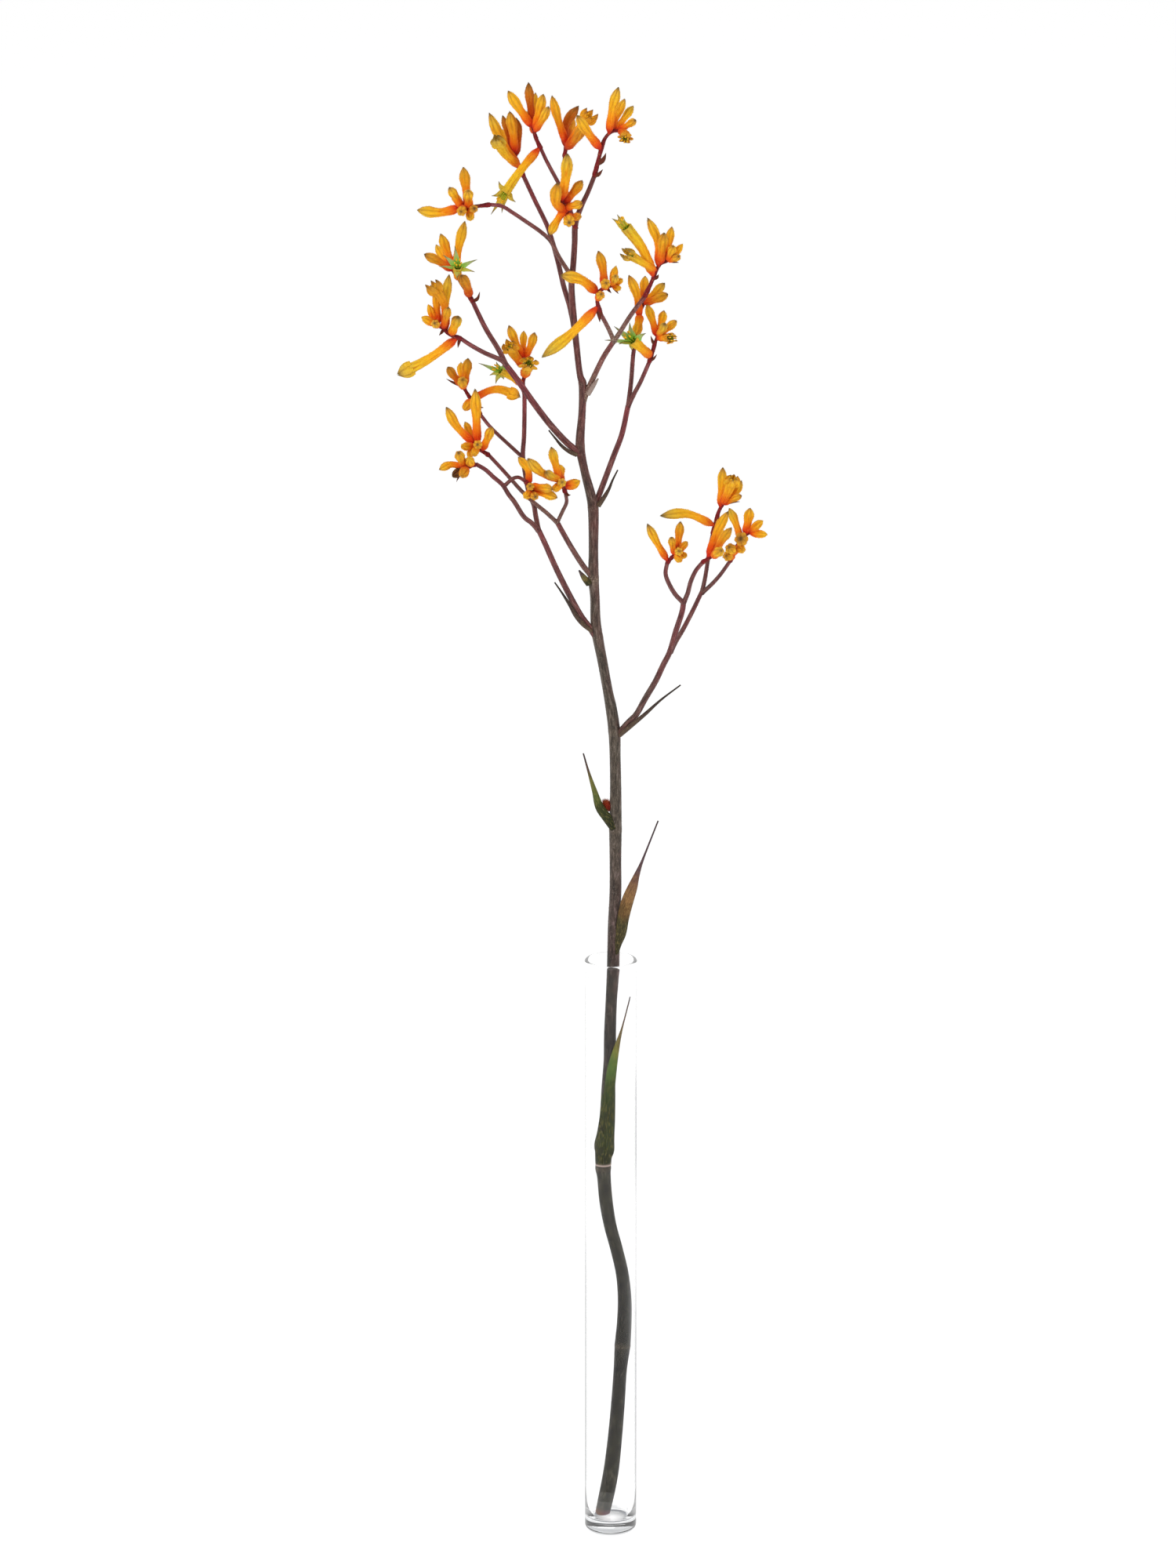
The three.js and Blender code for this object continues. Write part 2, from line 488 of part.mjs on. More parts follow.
// Bracts: the branch that each stands under, if any, and its line of pixel x, pixel y, depth and width.
// The lowest one also has a collar that clasps the stem: pixel x, pixel y, depth and diameter.
const BRACTS = {
  sheath_blade: {
    collar: [[769.3, 1484, 4.5, 8.6], [769.8, 1473, 4.6, 9.6], [770.5, 1461, 4.6, 11.3], [773, 1440, 4.6, 9.4],
      [775.6, 1402, 4.9, 8.1]],
    line: [[771, 1442, 0.4, 7.6], [776, 1402, 0.4, 6.2], [781, 1362, 0.4, 5.2], [786.5, 1337, 0.6, 3.2],
      [793.5, 1311, 1, 1.1], [804.5, 1271, 2, 0.8]],
  },
  bract_above_vase: {
    line: [[786, 1217, 3.2, 2.6], [788, 1206, 2.5, 4], [791.6, 1193, 1.6, 5.8], [795, 1172, 0.6, 6.4],
      [800, 1152, 0, 6.6], [806.8, 1133, 0, 5.4], [812.2, 1117, 0.3, 3.2], [819, 1099, 0.6, 1.5],
      [839.5, 1047, 2, 0.9]],
  },
  bract_left_green: {
    line: [[783, 1058, 1.4, 4.2], [774, 1044, 0.6, 5.2], [765, 1031, 0.4, 4.8], [758.5, 1010, 0.4, 2.9],
      [750.5, 984, 0.8, 1.4], [744, 961, 1.4, 0.9]],
  },
  bract_low_right: {
    under: 'branch_low_right',
    line: [[790, 939, 0, 2.4], [804, 927, -3, 2.6], [822, 912, -6, 2.1], [843, 893, -9.5, 1.3],
      [868, 874, -13, 0.9]],
  },
  bract_low_left: {
    under: 'branch_low_left',
    line: [[755, 806, -1.2, 2], [744, 797, -2, 2.6], [735, 786, -3, 2.6], [728, 774, -4.4, 2],
      [716.5, 756, -7, 1.2], [707.5, 743, -8.6, 0.9]],
  },
  bract_middle_left: {
    under: 'branch_middle_left',
    line: [[752, 746, -1.4, 4], [745.5, 738, -2.2, 3.2], [738.5, 727.6, -3.2, 1]],
  },
  bract_middle_right: {
    under: 'branch_middle_right',
    line: [[763, 646, -0.6, 2.8], [771, 634, 0, 2.4], [777, 623.5, 0.8, 1.7], [781.5, 612.5, 1.8, 1.2],
      [788, 599.5, 2.6, 0.9]],
  },
  bract_high_left: {
    under: 'branch_high_left',
    line: [[736, 581, -1.4, 2.4], [727, 577, -2.2, 2.2], [717, 569.5, -3.4, 1.8], [708.5, 559.5, -4.4, 1.2],
      [700, 549, -5.4, 0.9]],
  },
  bract_high_right: {
    under: 'branch_high_right',
    line: [[750, 504, -1.4, 2.5], [756.5, 493, -2.4, 2.4], [763, 483, -3.6, 0.9]],
  },
};

// The bud in the axil of the green bract: foot and tip as pixel x, pixel y and depth, and width.
const AXIL_BUD = { foot: [780.5, 1034, 5.2], tip: [770, 1021, 5.4], width: 4.2 };

const COLOURS = {
  glass: { color: 0xc9cfd6, roughness: 0.05, metalness: 0 },
  stem: { color: 0x4a2c2a, roughness: 0.8, metalness: 0 },
  bract: { color: 0x8a8a3c, roughness: 0.7, metalness: 0 },
  flower: { color: 0xe2a21c, roughness: 0.85, metalness: 0 },
};

function solidOf(geometry) {
  const bare = geometry.clone();
  bare.deleteAttribute('normal');
  bare.deleteAttribute('uv');
  const merged = mergeVertices(bare, MERGE_TOLERANCE);
  const vertProperties = Float32Array.from(merged.attributes.position.array);
  const triVerts = Uint32Array.from(merged.index.array);
  return new wasm.Manifold(new wasm.Mesh({ numProp: 3, vertProperties, triVerts }));
}

function geometryOf(solid) {
  const mesh = solid.getMesh();
  const geometry = new THREE.BufferGeometry();
  geometry.setAttribute('position', new THREE.BufferAttribute(Float32Array.from(mesh.vertProperties), 3));
  geometry.setIndex(Array.from(mesh.triVerts));
  geometry.computeVertexNormals();
  return geometry;
}

function largestPiece(solid) {
  return solid.decompose().reduce((best, piece) => (piece.volume() > best.volume() ? piece : best));
}

// The largest piece without triangles that are thinner than a sliver.
function cleaned(solid) {
  return largestPiece(largestPiece(solid).asOriginal().simplify(SLIVER));
}

// Frames along a curve that turn as little as they can. At the start `side` lies across the view.
function framesAlong(curve, stops) {
  const frames = [];
  let side = null;
  for (const stop of stops) {
    const centre = curve.getPoint(stop);
    const forward = curve.getTangent(stop);
    if (!side) {
      side = forward.clone().cross(new THREE.Vector3(0, 1, 0));
      if (side.length() < END_ON) side.set(1, 0, 0);
    }
    side = side.clone().addScaledVector(forward, -side.dot(forward)).normalize();
    const back = side.clone().cross(forward);
    frames.push({ centre, forward, side, back });
  }
  return frames;
}

function evenStops(count) {
  return Array.from({ length: count }, (_, i) => i / (count - 1));
}

// A closed cylinder bent along a curve, with a ring of each radius at each stop. It is pointed where the
// last radius is zero, and flat thins it front to back.
function bentTube(curve, radii, sides, { stops = evenStops(radii.length), flat = 1 } = {}) {
  const rings = radii.length - 1;
  const frames = framesAlong(curve, stops);
  const topRadius = radii[rings] > 0 ? 1 : 0;
  const shape = new THREE.CylinderGeometry(topRadius, 1, rings, sides, rings);
  const place = shape.attributes.position;
  for (let i = 0; i < place.count; i += 1) {
    const ring = Math.round(place.getY(i) + rings / 2);
    const frame = frames[ring];
    const spoke = new THREE.Vector2(place.getX(i), place.getZ(i)).normalize().multiplyScalar(radii[ring]);
    const point = frame.centre.clone();
    point.addScaledVector(frame.side, spoke.x);
    point.addScaledVector(frame.back, spoke.y * flat);
    place.setXYZ(i, point.x, point.y, point.z);
  }
  return solidOf(shape);
}

function curveThrough(points) {
  return new THREE.CatmullRomCurve3(points, false, 'centripetal');
}

// A value read off a list of evenly spaced stations, with straight lines between them.
function profile(stations) {
  return (t) => {
    const place = t * (stations.length - 1);
    const from = Math.min(Math.floor(place), stations.length - 2);
    return THREE.MathUtils.lerp(stations[from], stations[from + 1], place - from);
  };
}

function makeVase() {
  const outline = new THREE.Path();
  const lip = VASE_LIP_BULGE;
  const wallMiddle = (VASE_OUTER_RADIUS + VASE_INNER_RADIUS) / 2;
  outline.moveTo(0, 0);
  outline.lineTo(VASE_OUTER_RADIUS - VASE_HEEL_RADIUS, 0);
  outline.absarc(VASE_OUTER_RADIUS - VASE_HEEL_RADIUS, VASE_HEEL_RADIUS, VASE_HEEL_RADIUS, -Math.PI / 2, 0);
  outline.lineTo(VASE_OUTER_RADIUS, VASE_HEIGHT - VASE_LIP_HEIGHT);
  outline.lineTo(VASE_OUTER_RADIUS + lip, VASE_HEIGHT - VASE_LIP_HEIGHT / 2);
  outline.lineTo(VASE_OUTER_RADIUS - lip, VASE_HEIGHT - lip);
  outline.lineTo(wallMiddle, VASE_HEIGHT);
  outline.lineTo(VASE_INNER_RADIUS + lip, VASE_HEIGHT - lip);
  outline.lineTo(VASE_INNER_RADIUS, VASE_HEIGHT - VASE_LIP_HEIGHT / 2);
  const floorRadius = VASE_INNER_RADIUS - VASE_FLOOR_FILLET;
  const bowlTop = VASE_FLOOR + VASE_FLOOR_RISE;
  outline.absellipse(floorRadius, bowlTop, VASE_FLOOR_FILLET, VASE_FLOOR_RISE, 0, -Math.PI / 2, true);
  outline.lineTo(0, VASE_FLOOR);
  const shape = new THREE.LatheGeometry(outline.getPoints(VASE_ARC_STEPS), VASE_SECTORS);
  shape.rotateX(Math.PI / 2);
  return solidOf(shape);
}

// The main stem, thickened by `room` where other pieces are cut clear of it.
function makeMainStem(room = 0) {
  const points = lengthened(MAIN_STEM.map(([x, y, depth]) => seen(x, y, depth)), room);
  const radii = MAIN_STEM.map((row) => row[3] / 2 + room);
  const stem = bentTube(curveThrough(points), radii, STEM_SIDES);
  const below = new THREE.BoxGeometry(CUTTER_SIZE, CUTTER_SIZE, CUTTER_SIZE);
  below.translate(0, 0, VASE_FLOOR + SEAT_GAP - CUTTER_SIZE / 2);
  return stem.subtract(solidOf(below));
}

// The same line with both ends drawn out straight by `extra`.
function lengthened(points, extra) {
  const last = points.length - 1;
  const out = points.map((point) => point.clone());
  const startWay = points[0].clone().sub(points[1]).normalize();
  const endWay = points[last].clone().sub(points[last - 1]).normalize();
  out[0].addScaledVector(startWay, extra);
  out[last].addScaledVector(endWay, extra);
  return out;
}

function evenTaper(first, last, count) {
  return evenStops(count).map((stop) => THREE.MathUtils.lerp(first, last, stop));
}

function makeRun([startDiameter, endDiameter, line], room = 0) {
  const points = lengthened(line.map(([x, y, depth]) => seen(x, y, depth)), room);
  const radii = evenTaper(startDiameter / 2 + room, endDiameter / 2 + room, points.length);
  return bentTube(curveThrough(points), radii, BRANCH_SIDES);
}

function joined(solids) {
  return wasm.Manifold.union(solids);
}

function makeBranch(name, room = 0) {
  return joined(BRANCHES[name].map((run) => makeRun(run, room)));
}

// A flower's curve runs from its seat in the stalk to its tip, and bows sideways as it shows.
function flowerCurve(seat, foot, tip, bow) {
  const [footX, footY, footDepth] = foot;
  const [tipX, tipY, tipDepth] = tip;
  const acrossX = footY - tipY;
  const acrossY = tipX - footX;
  const span = Math.max(Math.hypot(acrossX, acrossY), 1);
  const middleX = (footX + tipX) / 2 + (bow * acrossX) / span;
  const middleY = (footY + tipY) / 2 + (bow * acrossY) / span;
  const middle = seen(middleX, middleY, (footDepth + tipDepth) / 2);
  return curveThrough([seat, middle, seen(...tip)]);
}

function nearestOnLine(points, target) {
  let best = points[0];
  for (let i = 0; i + 1 < points.length; i += 1) {
    const near = new THREE.Vector3();
    new THREE.Line3(points[i], points[i + 1]).closestPointToPoint(target, true, near);
    if (near.distanceTo(target) < best.distanceTo(target)) best = near;
  }
  return best;
}

// Outlines of a flower from its narrow foot: the share of its length, and the radius there as a share of
// its half width.
const SHORT_BUD = [[0, 0.3], [0.25, 0.9], [0.6, 1.1], [0.84, 0.74], [1, 0]];
const LONG_BUD = [[0, 0.3], [0.15, 0.86], [0.38, 0.8], [0.72, 1.1], [0.9, 0.68], [1, 0]];
const TUBE = [[0, 0.3], [0.14, 0.84], [0.42, 0.84], [1, 1.08]];
const LONG_BUD_FROM = 13;

function flowerTube(curve, outline, width) {
  const stops = outline.map(([share]) => curve.getUtoTmapping(share));
  const radii = outline.map(([, radius]) => (radius * width) / 2);
  return bentTube(curve, radii, FLOWER_SIDES, { stops });
}

function makeBud(curve, width) {
  return [flowerTube(curve, curve.getLength() > LONG_BUD_FROM ? LONG_BUD : SHORT_BUD, width)];
}

// A pointed lobe of an open flower, widest at its root, thin from face to face and bowed outward.
const LOBE_SIDES = 4;
const LOBE_WIDTH = 0.6;
const LOBE_BOW = 0.12;

function makeLobe(from, to, outward, flowerWidth) {
  const width = flowerWidth * LOBE_WIDTH;
  const middle = from.clone().lerp(to, 0.5).addScaledVector(outward, flowerWidth * LOBE_BOW);
  const flat = SCALE_THICKNESS / width;
  return bentTube(curveThrough([from, middle, to]), [width / 2, 0], LOBE_SIDES, { flat });
}

// An open flower: a tube up to its mouth, and six lobes fanned out from there.
const OPEN_TUBE_SHARE = 0.8;
const OPEN_LOBE_ROOT = 0.32;
const OPEN_LOBE_SPREAD = 0.42;
const LOBE_ROOT_DEPTH = 0.25;

function makeOpenFlower(curve, width) {
  const tube = curveThrough([0, 0.5, 1].map((stop) => curve.getPointAt(stop * OPEN_TUBE_SHARE)));
  const solids = [flowerTube(tube, TUBE, width)];
  const mouth = framesAlong(tube, [0, 0.5, 1])[2];
  const tip = curve.getPointAt(1);
  for (let i = 0; i < LOBES; i += 1) {
    const angle = ((i + 0.5) / LOBES) * Math.PI * 2;
    const outward = mouth.side.clone().multiplyScalar(Math.cos(angle));
    outward.addScaledVector(mouth.back, Math.sin(angle));
    const from = mouth.centre.clone().addScaledVector(outward, width * OPEN_LOBE_ROOT);
    from.addScaledVector(mouth.forward, -width * LOBE_ROOT_DEPTH);
    const to = tip.clone().addScaledVector(outward, width * OPEN_LOBE_SPREAD);
    solids.push(makeLobe(from, to, outward, width));
  }
  return solids;
}

// A wide open flower: its lobes reach to the places where their tips show.
function makeStarFlower(curve, width, lobeTips, tipDepth) {
  const solids = [flowerTube(curve, TUBE, width)];
  const mouth = framesAlong(curve, [0, 0.5, 1])[2];
  const heart = mouth.centre.clone().addScaledVector(mouth.forward, -width * LOBE_ROOT_DEPTH);
  for (const [x, y] of lobeTips) {
    solids.push(makeLobe(heart, seen(x, y, tipDepth), mouth.forward, width));
  }
  return solids;
}

function makeScale(curve, width) {
  return [bentTube(curve, [width / 2, 0], LOBE_SIDES, { flat: SCALE_THICKNESS / width })];
}

function makeFlower(row, stalkPoints) {
  const [form, footX, footY, footDepth, tipX, tipY, tipDepth, width, bow, lobeTips] = row;
  const foot = [footX, footY, footDepth];
  const seat = nearestOnLine(stalkPoints, seen(...foot));
  const curve = flowerCurve(seat, foot, [tipX, tipY, tipDepth], bow);
  const makers = {
    [BUD]: () => makeBud(curve, width),
    [OPEN]: () => makeOpenFlower(curve, width),
    [STAR]: () => makeStarFlower(curve, width, lobeTips, tipDepth),
    [SCALE]: () => makeScale(curve, width),
  };
  return makers[form]();
}

function makeHead({ stalk, flowers }) {
  const points = stalk.map(([x, y, depth]) => seen(x, y, depth));
  const radii = evenTaper(STALK_FOOT_DIAMETER / 2, STALK_TIP_DIAMETER / 2, points.length);
  const core = bentTube(curveThrough(points), radii, BRANCH_SIDES);
  return joined([core, ...flowers.flatMap((row) => makeFlower(row, points))]);
}

// A bract is a thin blade, cupped round the stem, that narrows to an awn.
const BRACT_CUP = 0.3;
const BRACT_STEPS_ACROSS = 4;
const COLLAR_SIDES = 12;

function makeBlade(line) {
  const curve = curveThrough(line.map(([x, y, depth]) => seen(x, y, depth)));
  const widthAt = profile(line.map((row) => row[3]));
  const rings = line.length - 1;
  const frames = framesAlong(curve, evenStops(line.length));
  const shape = new THREE.BoxGeometry(1, rings, 1, BRACT_STEPS_ACROSS, rings, 1);
  const place = shape.attributes.position;
  for (let i = 0; i < place.count; i += 1) {
    const ring = Math.round(place.getY(i) + rings / 2);
    const width = widthAt(ring / rings);
    const across = place.getX(i) * 2;
    const cup = BRACT_CUP * width * across * across;
    const frame = frames[ring];
    const point = frame.centre.clone();
    point.addScaledVector(frame.side, (across * width) / 2);
    point.addScaledVector(frame.back, cup + place.getZ(i) * BRACT_THICKNESS);
    place.setXYZ(i, point.x, point.y, point.z);
  }
  return solidOf(shape);
}

function makeBract({ line, collar }) {
  if (!collar) return makeBlade(line);
  const points = collar.map(([x, y, depth]) => seen(x, y, depth));
  const clasp = bentTube(curveThrough(points), collar.map((row) => row[3] / 2), COLLAR_SIDES);
  return clasp.add(makeBlade(line));
}

function makeAxilBud({ foot, tip, width }) {
  return makeBud(curveThrough([seen(...foot), seen(...tip)]), width)[0];
}

const part = new THREE.Group();

function addPiece(name, solid, look) {
  const material = new THREE.MeshStandardMaterial(look);
  const mesh = new THREE.Mesh(geometryOf(solid), material);
  mesh.name = name;
  part.add(mesh);
}

addPiece('vase', makeVase(), COLOURS.glass);

const mainStem = makeMainStem();
const roomRoundStem = makeMainStem(SEAT_GAP);
addPiece('main_stem', mainStem, COLOURS.stem);

for (const name of Object.keys(BRANCHES)) {
  addPiece(name, cleaned(makeBranch(name).subtract(roomRoundStem)), COLOURS.stem);
}

for (const [name, bract] of Object.entries(BRACTS)) {
  let solid = makeBract(bract).subtract(roomRoundStem);
  if (bract.under) solid = solid.subtract(makeBranch(bract.under, SEAT_GAP));
  addPiece(name, cleaned(solid), COLOURS.bract);
}

addPiece('axil_bud', cleaned(makeAxilBud(AXIL_BUD).subtract(roomRoundStem)), COLOURS.flower);

for (const [name, head] of Object.entries(HEADS)) {
  const holder = head.on === 'main_stem' ? roomRoundStem : makeBranch(head.on, SEAT_GAP);
  addPiece(name, cleaned(makeHead(head).subtract(holder)), COLOURS.flower);
}

export default part;
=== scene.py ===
"""The looks of a gold fever kangaroo paw: one branched flower stem in a tall glass vase.

Blender units are metres, +Z up, and the origin is the centre of the vase's underside. The tables below
are written in millimetres and in pixels of the 1500 x 2000 picture, and `seen` turns them into metres.
"""

import json
import math

import bpy
import numpy as np
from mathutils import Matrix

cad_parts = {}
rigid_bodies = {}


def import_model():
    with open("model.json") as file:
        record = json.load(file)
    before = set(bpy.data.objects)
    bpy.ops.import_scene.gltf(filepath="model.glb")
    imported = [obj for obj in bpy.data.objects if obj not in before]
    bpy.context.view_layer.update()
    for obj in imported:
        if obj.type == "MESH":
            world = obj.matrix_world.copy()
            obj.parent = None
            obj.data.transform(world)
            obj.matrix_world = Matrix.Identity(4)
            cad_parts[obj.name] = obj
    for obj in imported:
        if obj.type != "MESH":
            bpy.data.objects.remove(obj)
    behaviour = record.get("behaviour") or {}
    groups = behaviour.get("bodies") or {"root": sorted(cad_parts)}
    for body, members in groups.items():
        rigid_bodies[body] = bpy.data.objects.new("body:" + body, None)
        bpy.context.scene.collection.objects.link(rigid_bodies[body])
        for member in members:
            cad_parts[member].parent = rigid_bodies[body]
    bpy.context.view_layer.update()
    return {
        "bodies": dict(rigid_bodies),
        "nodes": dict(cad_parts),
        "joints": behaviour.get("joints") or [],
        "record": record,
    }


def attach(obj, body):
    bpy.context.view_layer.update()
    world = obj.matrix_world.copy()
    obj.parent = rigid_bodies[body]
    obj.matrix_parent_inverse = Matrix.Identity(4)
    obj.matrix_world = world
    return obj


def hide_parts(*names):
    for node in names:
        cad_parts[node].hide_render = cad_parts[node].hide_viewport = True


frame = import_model()

MM = 0.001

# Driving dimensions of the vase
VASE_HEIGHT = 326.5
VASE_OUTER_RADIUS = 14
VASE_INNER_RADIUS = 12
VASE_FLOOR = 7
VASE_HEEL_RADIUS = 3
VASE_FLOOR_FILLET = 2.6
VASE_FLOOR_RISE = 18
VASE_LIP_HEIGHT = 2.4
VASE_LIP_BULGE = 0.2
VASE_SECTORS = 144

# Driving dimensions of the plant
CUT_END_DIAMETER = 8.4
SEAT_GAP = 0.3
STALK_FOOT_DIAMETER = 2.5
STALK_TIP_DIAMETER = 1.9
BRACT_THICKNESS = 0.8
LOBE_THICKNESS = 0.5

# The picture that the plant was measured in looks level at the vase but for its pitch, from far away.
# A point of it is a pixel of the 1500 x 2000 frame and a depth in millimetres behind the vase's axis.
FRAME_CENTRE_X = 750
FRAME_CENTRE_Y = 1000
FRAME_HEIGHT = 2000
MM_PER_PIXEL = 0.42
VIEW_DISTANCE = 8000
VIEW_PITCH = math.radians(18)
AIM = np.array([-12.3, 0, 425.6])
LOOK = np.array([0, math.cos(VIEW_PITCH), -math.sin(VIEW_PITCH)])
VIEW_UP = np.array([0, math.sin(VIEW_PITCH), math.cos(VIEW_PITCH)])
EYE = AIM - LOOK * VIEW_DISTANCE


def seen(pixel_x, pixel_y, depth):
    """The point, in metres, that shows at a pixel at that depth."""
    ray = LOOK * VIEW_DISTANCE + VIEW_UP * (FRAME_CENTRE_Y - pixel_y) * MM_PER_PIXEL
    ray[0] += (pixel_x - FRAME_CENTRE_X) * MM_PER_PIXEL
    return (EYE + ray * (depth - EYE[1]) / ray[1]) * MM


# Main stem, from its cut end up: pixel x, pixel y, depth, diameter in millimetres.
# The wider rows are its nodes.
MAIN_STEM = [
  [767.5, 1932, 1.5, CUT_END_DIAMETER],
  [770.5, 1920, 1.5, 8.4],
  [779, 1878, 0.5, 8.4],
  [784, 1836, -1, 7.8],
  [787.7, 1794, -2, 7.4],
  [791, 1745, -3, 7.1],
  [793.5, 1715, -3.4, 8.1],
  [795.6, 1684, -3.6, 7.4],
  [796, 1653, -3.2, 7.0],
  [793.3, 1623, -2, 6.8],
  [786.3, 1592, 0, 6.8],
  [778.2, 1562, 2, 6.9],
  [772.8, 1531, 3.5, 7.4],
  [770, 1500, 4.4, 7.7],
  [769, 1489, 4.6, 8.6],
  [770.5, 1458, 4.8, 7.2],
  [773.5, 1430, 4.8, 7.2],
  [775, 1391, 5, 7.1],
  [778, 1353, 5.2, 7.1],
  [778, 1322, 5.5, 6.7],
  [779.5, 1280, 5.8, 6.3],
  [782, 1236, 6, 6.7],
  [783, 1182, 6, 6.5],
  [785, 1138, 6, 6.4],
  [785, 1095, 5.5, 6.3],
  [785, 1058, 5, 6.7],
  [785.3, 1008, 4.5, 6.1],
  [784.6, 965, 4, 5.9],
  [783.5, 932, 3.5, 6.4],
  [779, 900, 3, 6.0],
  [776, 885, 3, 5.4],
  [768.5, 844, 2.5, 5.3],
  [762.5, 813, 2, 5.7],
  [759.8, 793, 2, 5.5],
  [758.8, 762, 2, 5.1],
  [757, 738, 2, 5.7],
  [757, 701, 2, 5.1],
  [756.5, 647, 2, 5.7],
  [754.2, 634, 2, 5.3],
  [745, 598, 2, 4.4],
  [740, 569, 2, 4.9],
  [742.5, 525, 2, 3.9],
  [743, 489, 2, 4.3],
  [740, 479, 2, 3.5],
  [735, 438, 2, 3.4],
  [732, 409, 2, 3.6],
  [729, 364, 0, 3.3],
  [731, 340, -1, 3.2],
  [733, 310, -2, 3.1],
  [734, 285, -3, 3.2],
  [742, 262, -5, 2.7],
  [750, 245, -6, 2.5],
  [758, 225, -7, 2.4],
]

# Branches: each has one or more runs, and a run is its first and last diameter and its line.
BRANCHES = {
  "branch_low_right": [
    [3.4, 2.9, [[784, 943, 4], [793, 931, 2], [803, 920, 0], [811, 912, -2], [823, 891, -6],
      [836, 869, -10], [846, 848, -12], [854, 832, -14], [862, 805, -17],
      [870, 780, -19], [872, 767, -20]]],
    [2.6, 2.2, [[872, 769, -20], [862, 759, -22], [854, 746, -24], [849, 732, -25], [851, 718, -26]]],
    [2.6, 2.2, [[872, 769, -20], [877, 757, -21], [881, 742, -23], [887.5, 728, -25], [896, 717.5, -27]]],
    [2.8, 2.3, [[855, 832, -14], [862, 818, -8], [871, 803, -1], [884, 778, 6], [895, 755, 10]]],
    [2.4, 2.0, [[895, 757, 10], [899, 739, 12], [902, 721, 14], [905, 700, 15], [909, 681, 16]]],
    [2.3, 2.0, [[895, 757, 10], [907, 746, 9], [918, 734, 7], [931, 716, 4]]],
  ],
  "branch_low_left": [
    [3.5, 2.9, [[762, 816, 2], [754, 803, 1.5], [742, 787, 0], [730, 766, -3], [717.6, 742, -7],
      [707, 720, -10], [695, 693, -12.5], [687, 676, -14]]],
    [2.7, 2.2, [[687, 677, -14], [678, 667, -16], [669, 660, -18], [656, 640, -20.5], [649, 631, -21],
      [641, 618.5, -22], [630, 609, -23], [619, 599, -24], [607, 592, -25]]],
    [2.1, 1.9, [[643, 620, -22], [655, 610, -21], [662, 609, -20], [670, 614, -20]]],
    [2.7, 2.3, [[687, 677, -14], [683, 656, -8], [681, 644, -3], [675, 630, 2], [670, 605, 6],
      [667, 581, 8], [668.4, 558, 9], [669, 530, 10], [669, 502, 11]]],
    [2.1, 1.9, [[667, 583, 8], [662, 579, 9], [650, 568, 11], [638, 557, 13], [624, 543, 15],
      [613, 529, 17]]],
  ],
  "branch_middle_left": [
    [3.3, 2.7, [[758, 745, 2], [754, 735, 1.5], [744, 722, 0], [728, 697, -3], [710, 665, -6]]],
    [2.3, 2.0, [[711, 667, -6], [697, 654, -7], [681, 641, -8], [666, 627, -8], [652, 611.5, -8],
      [638, 596, -8], [624, 581, -8]]],
    [2.1, 1.9, [[710.5, 667, -6], [717.6, 652, -9], [722.7, 640, -11], [721, 628, -12]]],
  ],
  "branch_middle_right": [
    [3.3, 2.8, [[758, 650, 2], [761, 640, 3], [771, 613, 5], [783, 581, 8], [793, 554.5, 10],
      [801, 518, 12]]],
    [2.5, 2.1, [[801, 520, 12], [805, 487, 15], [808, 450, 18], [812, 425, 20]]],
    [2.5, 2.2, [[800.5, 520, 12], [809, 502, 11], [817, 487, 10], [828, 462, 8]]],
  ],
  "branch_high_left": [
    [3.8, 3.1, [[743, 583, 2], [734, 574, 1], [722.4, 564, 0], [701.4, 541, -3], [680, 513, -5],
      [663.5, 489.5, -6], [652, 474, -7], [645, 465, -8]]],
    [2.7, 2.2, [[646, 466, -8], [640, 460, -9], [618, 450, -12], [600, 440, -14], [588, 432, -15]]],
    [2.9, 2.4, [[646, 467, -8], [637, 448, -6], [620, 420, -2], [610, 400, 0], [603, 385, 1]]],
  ],
  "branch_high_right": [
    [3.1, 2.7, [[744, 512, 2], [749, 499, 1], [757.7, 480, -1], [770, 455, -5], [783, 435, -8]]],
    [2.5, 2.2, [[784, 437, -8], [776, 419, -10], [766, 400, -13]]],
    [2.7, 2.3, [[782.5, 436, -8], [788, 428, -8], [806, 400, -7], [822, 379, -5]]],
  ],
  "crown_left": [
    [2.9, 2.3, [[732, 415, 2], [726.5, 390, 4], [719, 365, 5.5], [712, 335, 7.5], [704, 306, 9.5],
      [698, 288, 10.5], [682, 255, 12], [668, 225, 13]]],
  ],
  "crown_middle": [
    [2.6, 2.3, [[734.5, 292, -3], [731, 280, 0], [727, 267, 2]]],
    [2.3, 1.9, [[727, 268, 2], [722, 252, 3], [712, 233, 4], [697, 205, 5], [690, 190, 5]]],
    [2.3, 1.9, [[727.5, 269, 2], [725, 258, 3], [722, 240, 5], [720, 220, 7], [720, 200, 8]]],
  ],
  "crown_front": [
    [2.5, 2.0, [[730, 358, -1], [727, 350, -3], [722, 342, -5], [713, 328, -8], [702, 307, -12],
      [690, 296, -14], [670, 282, -17], [655, 272, -19], [640, 263, -21], [625, 261, -22]]],
  ],
}

# Flower forms
BUD = "bud"
OPEN = "open"
STAR = "star"
SCALE = "scale"

